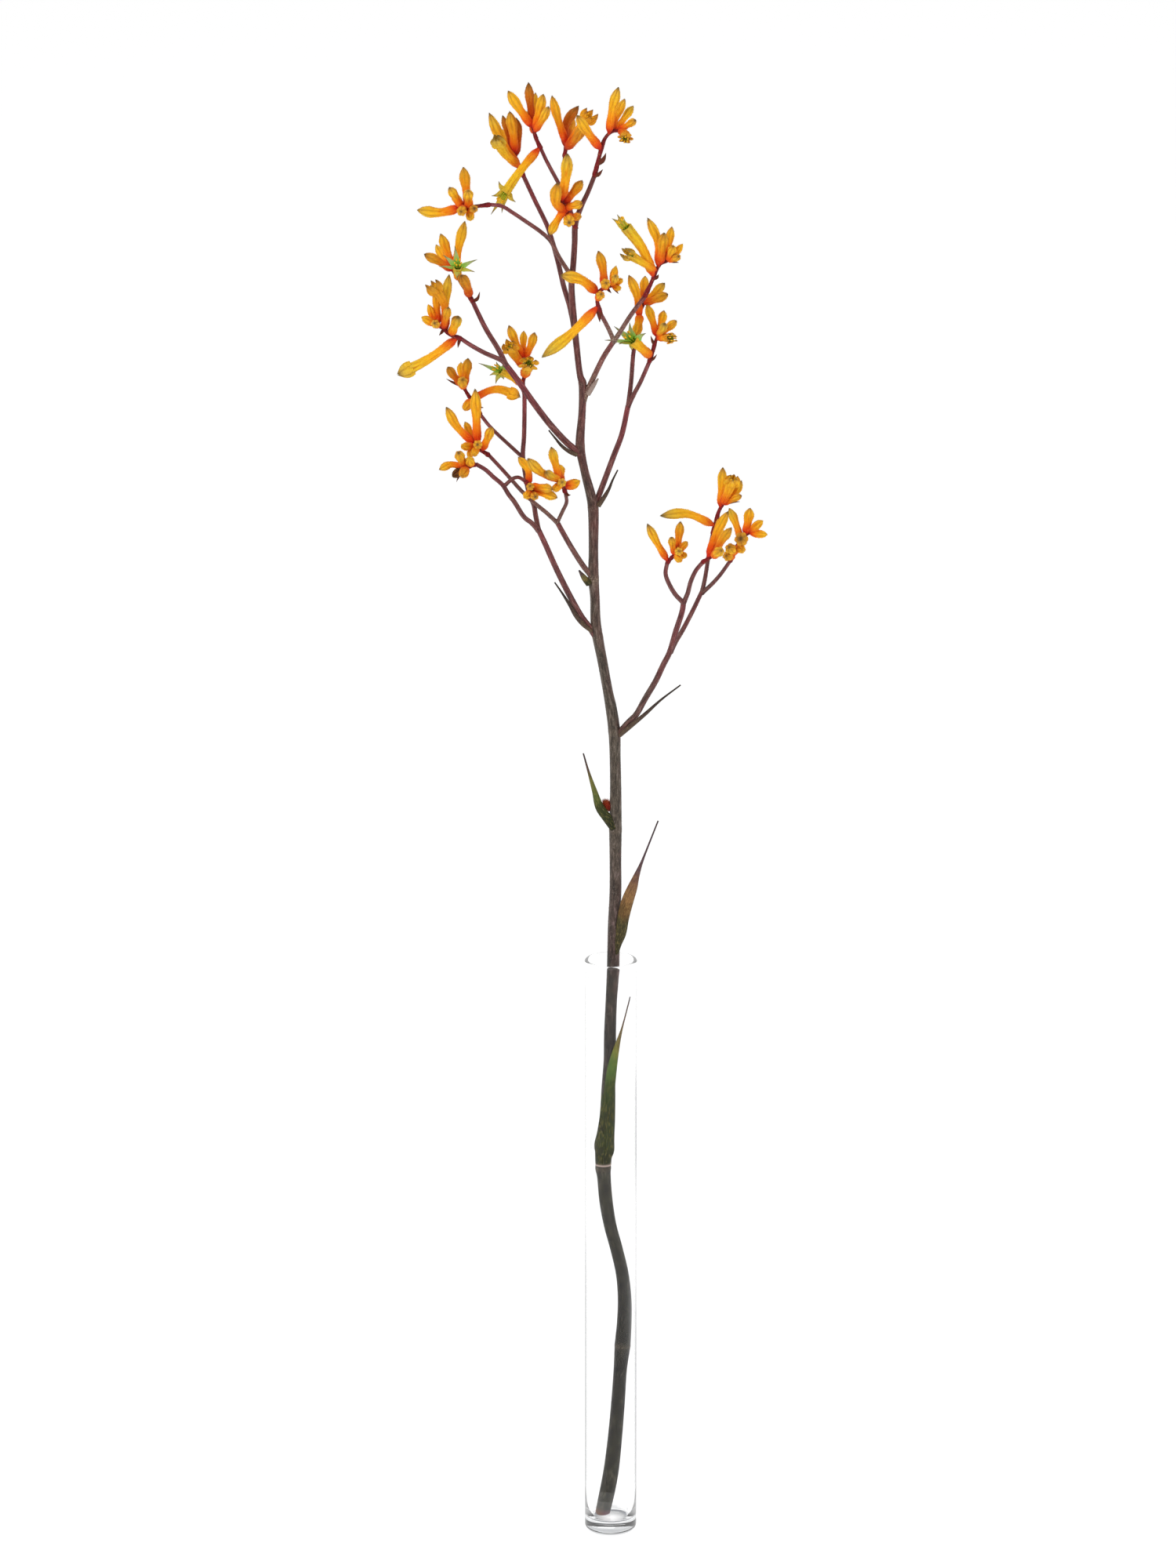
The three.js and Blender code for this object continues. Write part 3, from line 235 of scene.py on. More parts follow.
# Flower heads. The stalk is a line of pixel x, pixel y and depth that starts where its branch ends.
# A flower is its form, its foot and its tip as pixel x, pixel y and depth, its width in millimetres,
# and how far its middle bows to the right of the line from foot to tip, in pixels, if it does.
# A wide open one ends with the pixels where the tips of its lobes show.
HEADS = {
  "head_crown_left": {
    "stalk": [[668, 225, 13], [660, 207, 13], [655, 193, 13]],
    "flowers": [
      [BUD, 656, 220, 13, 624, 144, 6, 5.4, 1],
      [OPEN, 655, 216, 11, 632, 174, -5, 5.2],
      [BUD, 653, 186, 14, 641, 147, 20, 3.8],
      [BUD, 659, 196, 13, 650, 142, 6, 5.4],
      [BUD, 662, 198, 14, 658, 150, 16, 4.6, 1],
      [BUD, 658, 198, 15, 637, 164, 31, 4.6],
    ],
  },
  "head_crown_back": {
    "stalk": [[690, 190, 5], [684, 177, 6], [680, 163, 6]],
    "flowers": [
      [BUD, 676, 160, 6, 648, 116, -2, 5.4],
      [BUD, 678, 156, 7, 674, 105, 10, 4.6],
      [BUD, 681, 154, 9, 683, 118, 20, 3.6],
      [BUD, 682, 166, 6, 693, 120, 0, 5.2],
      [BUD, 684, 168, 5, 700, 136, -10, 4.6],
      [BUD, 683, 170, 7, 671, 142, 22, 4.4],
      [STAR, 684, 190, 5, 643, 248, -2, 5.2, 0.5,
        [[636, 231], [651, 240], [658, 258], [640, 272], [626, 274], [627, 250]]],
    ],
  },
  "head_crown_middle": {
    "stalk": [[720, 200, 8], [722, 188, 8], [724, 180, 8]],
    "flowers": [
      [BUD, 720, 184, 8, 704, 122, 2, 4.8],
      [BUD, 721, 188, 10, 738, 135, 21, 5.0, -8],
      [OPEN, 725, 192, 7, 756, 143, 0, 5.2, -3],
      [BUD, 726, 192, 6, 745, 160, -8, 5.2],
      [BUD, 724, 180, 11, 731, 150, 29, 4.2],
    ],
  },
  "head_crown_right": {
    "stalk": [[758, 225, -7], [763, 205, -8], [767, 190, -9], [772, 176, -10], [780, 168, -10],
      [790, 166, -10]],
    "flowers": [
      [BUD, 773, 168, -10, 789, 111, -17, 5.0],
      [BUD, 785, 166, -10, 808, 135, -4, 4.2],
      [BUD, 792, 165, -9, 811, 153, -18, 4.0],
      [OPEN, 799, 164, -10, 797, 178, -22, 4.8],
      [BUD, 763, 190, -9, 736, 147, -24, 5.5],
      [BUD, 776, 170, -8, 797, 126, 8, 4.6],
      [SCALE, 758, 229, -8, 769, 216, -12, 2.4],
      [SCALE, 766, 212, -9, 773, 195, -13, 3.0],
    ],
  },
  "head_crown_centre": {
    "stalk": [[734, 290, -4.5], [728, 279, -9], [722, 266, -14], [716, 256, -17]],
    "flowers": [
      [BUD, 720, 252, -17, 724, 196, -20, 6.2],
      [BUD, 707, 284, -16, 711, 233, -26, 5.8],
      [BUD, 724, 256, -15, 743, 230, -9, 5.0],
      [BUD, 722, 264, -14, 742, 260, -24, 4.8],
      [BUD, 725, 276, -10, 726, 284, -26, 6.0],
      [BUD, 730, 277, -9, 740, 276, -20, 4.0],
      [BUD, 717, 268, -15, 701, 300, -23, 4.6],
    ],
  },
  "head_crown_front": {
    "stalk": [[625, 261, -22], [610, 263, -24], [597, 265, -25], [588, 265, -25]],
    "flowers": [
      [BUD, 588, 270, -25, 532, 268, -27, 5.8, -2],
      [BUD, 588, 262, -25, 573, 239, -31, 4.6],
      [BUD, 597, 260, -24, 591, 213, -16, 5.4],
      [BUD, 598, 262, -25, 597, 243, -34, 5.2],
      [BUD, 591, 267, -26, 588, 270, -40, 5.0],
      [BUD, 602, 267, -25, 605, 266, -38, 4.2],
      [BUD, 599, 269, -24, 600, 280, -34, 4.2],
      [BUD, 592, 263, -22, 578, 250, -6, 4.6],
      [SCALE, 601, 262, -23, 596, 281, -25, 2.0],
    ],
  },
  "head_high_left": {
    "stalk": [[603, 385, 1], [593, 368, 2], [584, 354, 3], [578, 345, 4]],
    "flowers": [
      [BUD, 586, 344, 4, 593, 282, 10, 5.0, -4],
      [BUD, 578, 342, 5, 562, 298, 13, 5.0],
      [BUD, 574, 345, 3, 541, 324, -4, 5.0, 2],
      [BUD, 572, 342, 6, 556, 312, 22, 3.8],
      [STAR, 583, 356, 2, 584, 339, -10, 5.0, 0,
        [[580, 313], [609, 331], [606, 347], [583, 356], [560, 340], [565, 325]]],
      [BUD, 602, 377, 0, 588, 351, -12, 5.6],
      [SCALE, 606, 390, 0, 612, 372, -3, 2.0],
    ],
  },
  "head_far_left": {
    "stalk": [[588, 432, -15], [575, 427, -16], [565, 419, -17], [557, 414, -17]],
    "flowers": [
      [BUD, 561, 412, -17, 559, 368, -10, 4.8, -3],
      [BUD, 571, 420, -16, 573, 350, -5, 5.0, -4],
      [OPEN, 570, 418, -17, 549, 360, -20, 4.8, 7],
      [BUD, 566, 417, -17, 572, 392, -28, 4.2],
      [BUD, 575, 426, -15, 585, 404, -24, 5.6],
      [BUD, 556, 412, -17, 546, 388, -15, 3.8],
      [BUD, 554, 414, -18, 538, 404, -22, 4.2],
      [BUD, 558, 416, -18, 554, 412, -32, 4.2],
      [OPEN, 583, 432, -15, 508, 478, -18, 5.4, -3],
      [SCALE, 586, 433, -15, 584, 444, -18, 1.8],
      [SCALE, 566, 421, -17, 560, 428, -20, 1.8],
    ],
  },
  "head_left_inner": {
    "stalk": [[669, 502, 11], [667, 490, 11], [669, 478, 11], [668, 464, 11], [668, 454, 12]],
    "flowers": [
      [BUD, 664, 458, 11, 649, 415, 5, 4.6, 1],
      [OPEN, 665, 468, 10, 648, 438, 0, 5.4],
      [BUD, 667, 455, 13, 668, 422, 23, 3.8],
      [BUD, 670, 458, 12, 682, 424, 7, 4.6, 1],
      [OPEN, 670, 479, 10, 675, 461, -6, 6.2],
      [STAR, 664, 492, 10, 637, 472, 3, 4.4, 2,
        [[610, 463], [624, 479], [632, 490], [643, 484], [645, 464], [633, 461]]],
    ],
  },
  "head_left_outer": {
    "stalk": [[613, 529, 17], [604, 514, 18], [596, 502, 19], [591, 493, 19]],
    "flowers": [
      [BUD, 592, 494, 18, 597, 457, 13, 5.2],
      [BUD, 587, 489, 20, 588, 462, 31, 3.6],
      [BUD, 587, 491, 19, 571, 468, 12, 4.6],
      [BUD, 590, 494, 18, 590, 484, 2, 5.2],
      [BUD, 601, 510, 18, 592, 523, 8, 4.6],
      [OPEN, 602, 509, 18, 664, 506, 9, 4.6, -11],
      [SCALE, 585, 492, 19, 569, 483, 17, 1.8],
      [SCALE, 607, 519, 17, 617, 520, 15, 1.8],
    ],
  },
  "head_middle_left": {
    "stalk": [[624, 581, -8], [612, 573, -8], [606, 567, -8]],
    "flowers": [
      [BUD, 617, 562, -8, 606, 496, -12, 5.4, -4],
      [BUD, 603, 564, -8, 569, 519, -15, 4.9, -4],
      [BUD, 604, 561, -8, 593, 538, -2, 3.8],
      [BUD, 618, 570, -8, 627, 545, -15, 4.8],
      [BUD, 610, 568, -9, 609, 567, -23, 4.6],
      [BUD, 602, 570, -8, 589, 569, -18, 4.2],
      [BUD, 607, 573, -9, 604, 580, -20, 4.0],
      [BUD, 605, 572, -7, 597, 583, -12, 4.0],
    ],
  },
  "head_low_left": {
    "stalk": [[607, 592, -25], [599, 595, -26], [592, 596, -26]],
    "flowers": [
      [BUD, 591, 593, -26, 584.5, 577, -36, 5.2],
      [BUD, 592, 594, -25, 560, 599, -28, 4.2, 4],
      [BUD, 591, 598, -25, 577, 608, -31, 4.4],
      [BUD, 595, 598, -27, 589, 607, -38, 5.0],
      [BUD, 598, 593, -24, 588, 588, -10, 4.4],
      [BUD, 601, 593, -25, 598, 585, -35, 4.6],
      [SCALE, 589, 600, -25, 582, 615, -27, 1.8],
    ],
  },
  "head_left_low_inner": {
    "stalk": [[670, 614, -20], [676, 620, -20], [678, 630, -20]],
    "flowers": [
      [BUD, 676, 617, -19, 661, 583, -10, 4.4, 5],
      [BUD, 680, 625, -21, 711, 635, -27, 4.8],
      [BUD, 679, 620, -21, 705, 624, -32, 4.6],
      [BUD, 676, 628, -20, 670, 634, -30, 4.2],
      [BUD, 679, 630, -21, 683, 634, -33, 4.2],
      [BUD, 677, 622, -22, 676, 620, -35, 4.0],
    ],
  },
  "head_left_middle_inner": {
    "stalk": [[721, 628, -12], [718, 620, -13], [714, 612, -13]],
    "flowers": [
      [BUD, 710, 614, -14, 673, 585, -34, 5.2, -3],
      [BUD, 713, 610, -13, 703, 570, -14, 5.0],
      [BUD, 711, 613, -15, 696, 602, -27, 4.6],
      [BUD, 719, 619, -12, 740, 613, -5, 5.0, 2],
      [BUD, 716, 617, -14, 717, 615, -28, 4.4],
      [BUD, 715, 618, -13, 706, 625, -21, 4.2],
      [BUD, 716, 614, -11, 714, 593, 0, 4.8],
      [SCALE, 721, 632, -13, 728, 631, -16, 1.8],
    ],
  },
  "head_high_centre": {
    "stalk": [[766, 400, -13], [762, 385, -14], [763, 374, -15], [771, 367, -16], [781, 364, -16]],
    "flowers": [
      [BUD, 761, 373, -15, 715, 351, -20, 6.3, 6],
      [BUD, 769, 366, -16, 763, 320, -14, 5.0, 3],
      [BUD, 771, 364, -17, 773, 361, -32, 5.0],
      [BUD, 780, 361, -15, 786, 339, -11, 3.8],
      [BUD, 783, 362, -17, 785, 352, -28, 4.0],
      [BUD, 784, 363, -16, 794, 356, -22, 3.2],
      [BUD, 783, 366, -16, 791, 368, -24, 3.2],
      [BUD, 763, 381, -14, 767, 375, -26, 4.4],
      [BUD, 762, 391, -14, 691, 456, -14, 6.0, -3],
      [SCALE, 764, 393, -14, 765, 411, -16, 3.0],
      [SCALE, 774, 368, -16, 780, 374, -17, 1.8],
      [SCALE, 782, 366, -16, 789, 375, -17, 1.8],
    ],
  },
  "head_high_right": {
    "stalk": [[822, 379, -5], [831, 360, -4], [837, 345, -3], [842, 337, -2], [852, 332, -2]],
    "flowers": [
      [STAR, 831, 352, -4, 797, 288, -9, 6.0, 6, [[787, 273.5], [791, 277], [780.5, 278.5], [786, 283]]],
      [OPEN, 832, 344, -6, 796, 321, -18, 4.8, 1],
      [BUD, 838, 340, -2, 826, 278, -6, 4.9, 7],
      [BUD, 842, 337, -3, 847, 297, -12, 5.4],
      [BUD, 849, 332, -2, 857, 289, 3, 4.4],
      [BUD, 853, 330, -3, 859, 314, -15, 4.4],
      [BUD, 855, 331, -2, 871, 311, -4, 3.8],
      [BUD, 855, 332, -2, 866, 327, -14, 4.0],
      [SCALE, 836, 357, -4, 840, 350, -5, 2.4],
      [SCALE, 853, 333, -2, 866, 335, -2, 1.8],
    ],
  },
  "head_right_inner": {
    "stalk": [[812, 425, 20], [815, 408, 20], [818, 394, 20], [821, 387, 20]],
    "flowers": [
      [BUD, 807, 404, 20, 802, 351, 15, 5.0, 8],
      [BUD, 819, 388, 21, 823, 352, 33, 4.6],
      [BUD, 823, 386, 20, 848, 361, 17, 4.6],
      [BUD, 823, 388, 19, 852, 375, 8, 4.8],
      [BUD, 817, 402, 19, 811, 428, 10, 5.4],
    ],
  },
  "head_right_outer": {
    "stalk": [[828, 462, 8], [832, 450, 8], [836, 436, 7], [840, 427, 7]],
    "flowers": [
      [BUD, 835, 429, 7, 825, 388, 10, 4.6, 2],
      [BUD, 841, 424, 7, 847, 396, 13, 4.6],
      [BUD, 844, 425, 6, 863, 409, 1, 4.4],
      [OPEN, 840, 431, 6, 859, 431, -5, 4.8],
      [BUD, 842, 427, 5, 848, 413, -8, 4.4],
      [STAR, 832, 456, 7, 806, 433, 0, 6.0, 0,
        [[771, 434], [783, 416], [803, 411], [824, 425], [806, 447], [789, 439]]],
      [SCALE, 830, 462, 7, 838, 452, 5, 1.8],
      [SCALE, 834, 441, 6, 830, 428, 4, 1.8],
    ],
  },
  "head_low_right_left": {
    "stalk": [[851, 718, -26], [856, 712, -26], [863, 706, -26]],
    "flowers": [
      [BUD, 849, 714, -26, 825.5, 668, -30, 4.4],
      [BUD, 864, 702, -25, 868, 665, -18, 4.6],
      [BUD, 859, 706, -26, 856.5, 685, -34, 4.0],
      [BUD, 866, 702, -26, 877, 691, -32, 3.6],
      [BUD, 865, 705, -27, 866, 703, -40, 4.2],
      [BUD, 864, 709, -27, 867, 715, -37, 4.2],
      [BUD, 866, 707, -26, 876, 709, -31, 3.6],
    ],
  },
  "head_low_right_top": {
    "stalk": [[909, 681, 16], [913, 666, 16], [917, 652, 17], [922, 643, 17]],
    "flowers": [
      [BUD, 905, 670, 14, 842, 658, 6, 5.2, 9],
      [BUD, 919, 648, 17, 922, 596, 20, 5.0],
      [OPEN, 922, 644, 16, 936, 608, 7, 5.4],
      [BUD, 924, 641, 17, 946, 632, 9, 3.8],
      [BUD, 924, 644, 18, 946, 613, 17, 4.6, 2],
      [SCALE, 926, 641, 17, 944, 640, 15, 1.8],
    ],
  },
  "head_low_right_front": {
    "stalk": [[896, 717.5, -27], [904, 712, -28], [910, 709, -28]],
    "flowers": [
      [BUD, 899, 707, -27, 929, 652, -28, 5.0],
      [BUD, 911, 703, -29, 933, 673, -40, 4.4],
      [BUD, 910, 708, -29, 920, 702, -44, 5.2],
      [BUD, 904, 708, -26, 922, 672, -10, 4.4],
    ],
  },
  "head_low_right_back": {
    "stalk": [[931, 716, 4], [936, 706, 3], [942, 694, 2], [949, 684, 2], [956, 679, 2]],
    "flowers": [
      [BUD, 943, 688, 2, 930, 648, 8, 4.4, 2],
      [BUD, 947, 689, 1, 945, 687, -15, 7.0],
      [BUD, 951, 682, 2, 957, 648, 5, 5.4],
      [BUD, 956, 678, 2, 973, 664, -4, 4.2],
      [BUD, 956, 680, 2, 979, 682, -2, 4.2],
      [BUD, 941, 698, 2, 948, 702, -9, 4.4],
      [BUD, 937, 705, 2, 930, 698, -12, 5.6],
      [BUD, 934, 710, 3, 926, 709, -9, 5.0],
      [SCALE, 934, 713, 3, 921, 711, 1, 1.8],
    ],
  },
}

# Bracts: the line of each is pixel x, pixel y, depth and width. The lowest one also has a collar that
# clasps the stem: pixel x, pixel y, depth and diameter.
BRACTS = {
  "sheath_blade": {
    "collar": [[769.2, 1485, 4.5, 8.8], [769.4, 1475, 4.6, 9.4], [770.7, 1466, 4.6, 11],
      [770.5, 1460, 4.6, 11.3], [772.3, 1446, 4.6, 9.9], [774.3, 1428, 4.7, 8.8],
      [775.6, 1402, 4.9, 8], [776.4, 1382, 5, 7.3]],
    "line": [[771, 1442, 0.4, 7.6], [776, 1402, 0.4, 6.2], [781, 1362, 0.4, 5.2], [786.5, 1337, 0.6, 3.2],
      [793.5, 1311, 1, 1.1], [804.5, 1271, 2, 0.8]],
  },
  "bract_above_vase": {
    "line": [[786, 1217, 3.2, 2.6], [788, 1206, 2.5, 4], [791.6, 1193, 1.6, 5.8], [795, 1172, 0.6, 6.4],
      [800, 1152, 0, 6.6], [806.8, 1133, 0, 5.4], [812.2, 1117, 0.3, 3.2], [819, 1099, 0.6, 1.5],
      [839.5, 1047, 2, 0.9]],
  },
  "bract_left_green": {
    "line": [[783, 1058, 1.4, 4.2], [774, 1044, 0.6, 5.2], [765, 1031, 0.4, 4.8], [758.5, 1010, 0.4, 2.9],
      [750.5, 984, 0.8, 1.4], [744, 961, 1.4, 0.9]],
  },
  "bract_low_right": {
    "line": [[790, 939, 0, 2.4], [804, 927, -3, 2.6], [822, 912, -6, 2.1], [843, 893, -9.5, 1.3],
      [868, 874, -13, 0.9]],
  },
  "bract_low_left": {
    "line": [[755, 806, -1.2, 2], [744, 797, -2, 2.6], [735, 786, -3, 2.6], [728, 774, -4.4, 2],
      [716.5, 756, -7, 1.2], [707.5, 743, -8.6, 0.9]],
  },
  "bract_middle_left": {
    "line": [[752, 746, -1.4, 4], [745.5, 738, -2.2, 3.2], [738.5, 727.6, -3.2, 1]],
  },
  "bract_middle_right": {
    "line": [[763, 646, -0.6, 2.8], [771, 634, 0, 2.4], [777, 623.5, 0.8, 1.7], [781.5, 612.5, 1.8, 1.2],
      [788, 599.5, 2.6, 0.9]],
  },
  "bract_high_left": {
    "line": [[736, 581, -1.4, 2.4], [727, 577, -2.2, 2.2], [717, 569.5, -3.4, 1.8],
      [708.5, 559.5, -4.4, 1.2], [700, 549, -5.4, 0.9]],
  },
  "bract_high_right": {
    "line": [[750, 504, -1.4, 2.5], [756.5, 493, -2.4, 2.4], [763, 483, -3.6, 0.9]],
  },
}

# The bud in the axil of the green bract: foot and tip as pixel x, pixel y and depth, and width.
AXIL_BUD = {"foot": [780.5, 1034, 5.2], "tip": [770, 1021, 5.4], "width": 4.2}


# How flowers depart from the usual gold: for each head, a flower's place in its list and its tone, from
# below 0, dark brown, over 0, dark red-brown, and 0.5, gold, to 1, yellow with an olive cast.
TONES = {
    "head_crown_left": {0: 0.62, 1: 0.85, 2: 0.1, 3: 0.4, 4: 0.12},
    "head_crown_back": {1: 0.08, 6: 0.95},
    "head_crown_middle": {1: 0.05, 3: 0.25},
    "head_crown_right": {0: 0.62, 3: 0.3},
    "head_crown_centre": {0: 0.72},
    "head_high_left": {0: 0.62, 2: 0.3, 4: 0.9, 5: 0.2},
    "head_far_left": {1: 0.75, 2: 0.3, 4: 0.75, 8: 0.8},
    "head_left_inner": {5: 0.9},
    "head_left_outer": {0: 0.35, 2: 0.2},
    "head_low_left": {2: -0.6, 3: 0.25},
    "head_high_centre": {0: 0.68, 8: 0.85},
    "head_high_right": {0: 0.95, 1: 0.85},
    "head_right_outer": {5: 0.75},
    "head_low_right_top": {0: 0.8, 2: 0.55},
}
USUAL_TONE = 0.5
TONE_SPREAD = 0.11

# How far the lobes of an open flower spread from its line, as a share of its width
LOBE_SPREADS = {
    "head_crown_left": {1: 0.2},
    "head_crown_middle": {2: 0.6},
    "head_crown_right": {3: 0.3},
    "head_far_left": {2: 0.6, 8: 0.1},
    "head_left_outer": {5: 0.04},
    "head_low_right_top": {2: 0.3},
}
USUAL_LOBE_SPREAD = 0.42


def hermite(start, end, start_slope, end_slope, share):
    """The cubic from start to end that has these slopes there."""
    square, cube = share**2, share**3
    return (
        (2 * cube - 3 * square + 1) * start
        + (cube - 2 * square + share) * start_slope
        + (3 * square - 2 * cube) * end
        + (cube - square) * end_slope
    )


def smooth_rows(rows, steps):
    """Rows along a smooth line through the given ones, `steps` to a span. The first three columns are the
    place, and the others, such as a width, run along smoothly with it."""
    rows = np.array(rows, float)
    padded = np.vstack([2 * rows[0] - rows[1], rows, 2 * rows[-1] - rows[-2]])
    share = (np.arange(steps) / steps)[:, None]
    spans = []
    for a, b, c, d in zip(padded, padded[1:], padded[2:], padded[3:]):
        gaps = [max(np.linalg.norm(q[:3] - p[:3]), 1e-7) ** 0.5 for p, q in ((a, b), (b, c), (c, d))]
        start = (b - a) / gaps[0] - (c - a) / (gaps[0] + gaps[1]) + (c - b) / gaps[1]
        end = (c - b) / gaps[1] - (d - b) / (gaps[1] + gaps[2]) + (d - c) / gaps[2]
        spans.append(hermite(b, c, start * gaps[1], end * gaps[1], share))
    return np.vstack(spans + [rows[-1:]])


def length_along(rows):
    """How far each row is along the line."""
    return np.concatenate([[0], np.cumsum(np.linalg.norm(np.diff(rows[:, :3], axis=0), axis=1))])


def shares_along(rows):
    reach = length_along(rows)
    return reach / reach[-1]


def thick_rows(table):
    """Rows of a place and a radius, from pixel x, pixel y, depth and a width in millimetres."""
    return [(*seen(x, y, depth), width / 2 * MM) for x, y, depth, width in table]


def rows_at(rows, shares):
    """Rows at these shares of the line's length."""
    reach = length_along(rows)
    return np.column_stack([np.interp(np.array(shares) * reach[-1], reach, column) for column in rows.T])


def eased(stations, shares):
    """A value read off stations of share and value, with a smooth line through them."""
    stops, values = np.array(stations, float).T
    slopes = np.gradient(values, stops)
    place = np.clip(np.searchsorted(stops, shares, side="right") - 1, 0, len(stops) - 2)
    gap = stops[place + 1] - stops[place]
    share = (shares - stops[place]) / gap
    return hermite(values[place], values[place + 1], slopes[place] * gap, slopes[place + 1] * gap, share)


def unit(vectors):
    return vectors / np.maximum(np.linalg.norm(vectors, axis=-1, keepdims=True), 1e-12)


CENTRE, SIDE, BACK, FORWARD = range(4)


def frames_along(line, first_side=None):
    """Centre, side, back and forward at each point of a line, turning as little as they can."""
    forward = unit(np.gradient(line[:, :3], axis=0))
    side = np.cross(forward[0], (0, 1, 0)) if first_side is None else np.array(first_side)
    if np.linalg.norm(side) < 0.05:
        side = np.array([1.0, 0, 0])
    sides = []
    for way in forward:
        side = unit(side - way * (side @ way))
        sides.append(side)
    sides = np.array(sides)
    return np.array([line[:, :3], sides, np.cross(sides, forward), forward])


def all_round(count):
    """That many angles, evenly spaced all round."""
    return np.arange(count) * 2 * math.pi / count


def spoke(frame, angle):
    """The way out from a frame's centre at an angle."""
    return math.cos(angle) * frame[SIDE] + math.sin(angle) * frame[BACK]


def ring_grid(frames, radii, sides):
    """Points on rings round the frames' centres. `radii` has a value for each ring, or for each point."""
    angles = all_round(sides)
    radii = np.array(radii, float).reshape(len(radii), -1, 1)
    across, back = np.cos(angles)[:, None], np.sin(angles)[:, None]
    spokes = across * frames[SIDE][:, None] + back * frames[BACK][:, None]
    return frames[CENTRE][:, None] + radii * spokes


def blade_grid(frames, half_widths, thickness, fold=0.0, cup=0.0, corners=10):
    """Closed lens-shaped sections along the frames. `fold` lifts both edges straight and `cup` in a curve,
    as shares of the half width."""
    angles = all_round(corners)
    across, lift = np.cos(angles), np.sin(angles)
    half = np.array(half_widths, float)[:, None]
    depth = np.minimum(thickness / 2, half * 0.8)
    lifts = lift * depth + (fold * np.abs(across) + cup * across**2) * half
    sides = (across * half)[..., None] * frames[SIDE][:, None]
    return frames[CENTRE][:, None] + sides + lifts[..., None] * frames[BACK][:, None]


def grid_normals(grid):
    along = np.gradient(grid, axis=0)
    around = np.roll(grid, -1, axis=1) - np.roll(grid, 1, axis=1)
    return unit(np.cross(along, around))


def new_object(name, data):
    made = bpy.data.objects.new(name, data)
    bpy.context.scene.collection.objects.link(made)
    return made


class Pile:
    """Surfaces gathered for one mesh. Three vectors go with each point for the materials to read:
    look is along, tone and a mark, kind is hair, green and dark, and grain is a place for streaks."""

    def __init__(self):
        self.points, self.looks, self.kinds, self.grains, self.faces = [], [], [], [], []
        self.count = 0

    def add(self, points, faces, look, kind, grain):
        points = points.reshape(-1, 3)
        self.points.append(points)
        for store, value in ((self.looks, look), (self.kinds, kind), (self.grains, grain)):
            store.append(np.broadcast_to(np.asarray(value, float).reshape(-1, 3), points.shape))
        for group in faces:
            self.faces.extend((group + self.count).tolist())
        self.count += len(points)

    def object(self, name, material):
        mesh = bpy.data.meshes.new(name)
        mesh.from_pydata(np.vstack(self.points).tolist(), [], self.faces)
        for title, store in (("look", self.looks), ("kind", self.kinds), ("grain", self.grains)):
            layer = mesh.attributes.new(title, "FLOAT_VECTOR", "POINT")
            layer.data.foreach_set("vector", np.vstack(store).ravel())
        mesh.polygons.foreach_set("use_smooth", [True] * len(mesh.polygons))
        mesh.materials.append(material)
        mesh.update()
        return new_object(name, mesh)


def grid_faces(rings, sides):
    """Quads round a grid of rings, and a fan on each end to the two points after the grid."""
    index = np.arange(rings * sides).reshape(rings, sides)
    right = np.roll(index, -1, axis=1)
    start, end = np.full(sides, rings * sides), np.full(sides, rings * sides + 1)
    return [np.stack([index[:-1], index[1:], right[1:], right[:-1]], axis=-1).reshape(-1, 4),
            np.stack([index[0], right[0], start], axis=-1),
            np.stack([right[-1], index[-1], end], axis=-1)]


GRAIN_ALONG = 60


def add_grid(pile, grid, tone=USUAL_TONE, mark=0.0, kind=(0, 0, 0), along=None, offset=0.0):
    """A closed surface from a grid of rings, with a point at the middle of each end."""
    rings, sides, _ = grid.shape
    if along is None:
        along = np.linspace(0, 1, rings)
    reach = length_along(grid.mean(axis=1))
    angles = all_round(sides)
    shape = (rings, sides)
    look = np.stack([np.broadcast_to(value, shape) for value in
                     (np.array(along)[:, None], tone, np.array(mark).reshape(-1, 1))], axis=-1)
    grain = np.stack([np.broadcast_to(value, shape) for value in
                      (np.cos(angles), np.sin(angles), reach[:, None] * GRAIN_ALONG + offset)], axis=-1)
    kinds = np.asarray(kind, float)
    kinds = np.broadcast_to(kinds if kinds.ndim == 3 else kinds.reshape(-1, 1, 3), (*shape, 3))
    ends = (0, -1)
    flat = [np.vstack([values.reshape(-1, 3)] + [values[end].mean(axis=0)[None] for end in ends])
            for values in (grid, look, kinds, grain)]
    pile.add(flat[0], grid_faces(rings, sides), flat[1], flat[2], flat[3])
    return {"grid": grid, "look": look, "kind": kinds, "grain": grain}


HAIR_DENSITY = 3.0
HAIR_LENGTH = 0.62 * MM
HAIR_RADIUS = 0.05 * MM
HAIR_LEAN = math.radians(38)
HAIR_SUNK = 0.06 * MM
HAIR_WILDNESS = 0.28
# The shortest hair's share of the usual length, and how much more the longest has
HAIR_SHORTEST = 0.6
HAIR_MORE = 0.8
# How pale a hair's three corners at the root are, and its tip
HAIR_PALENESS = (0.35, 0.35, 0.35, 1.0)


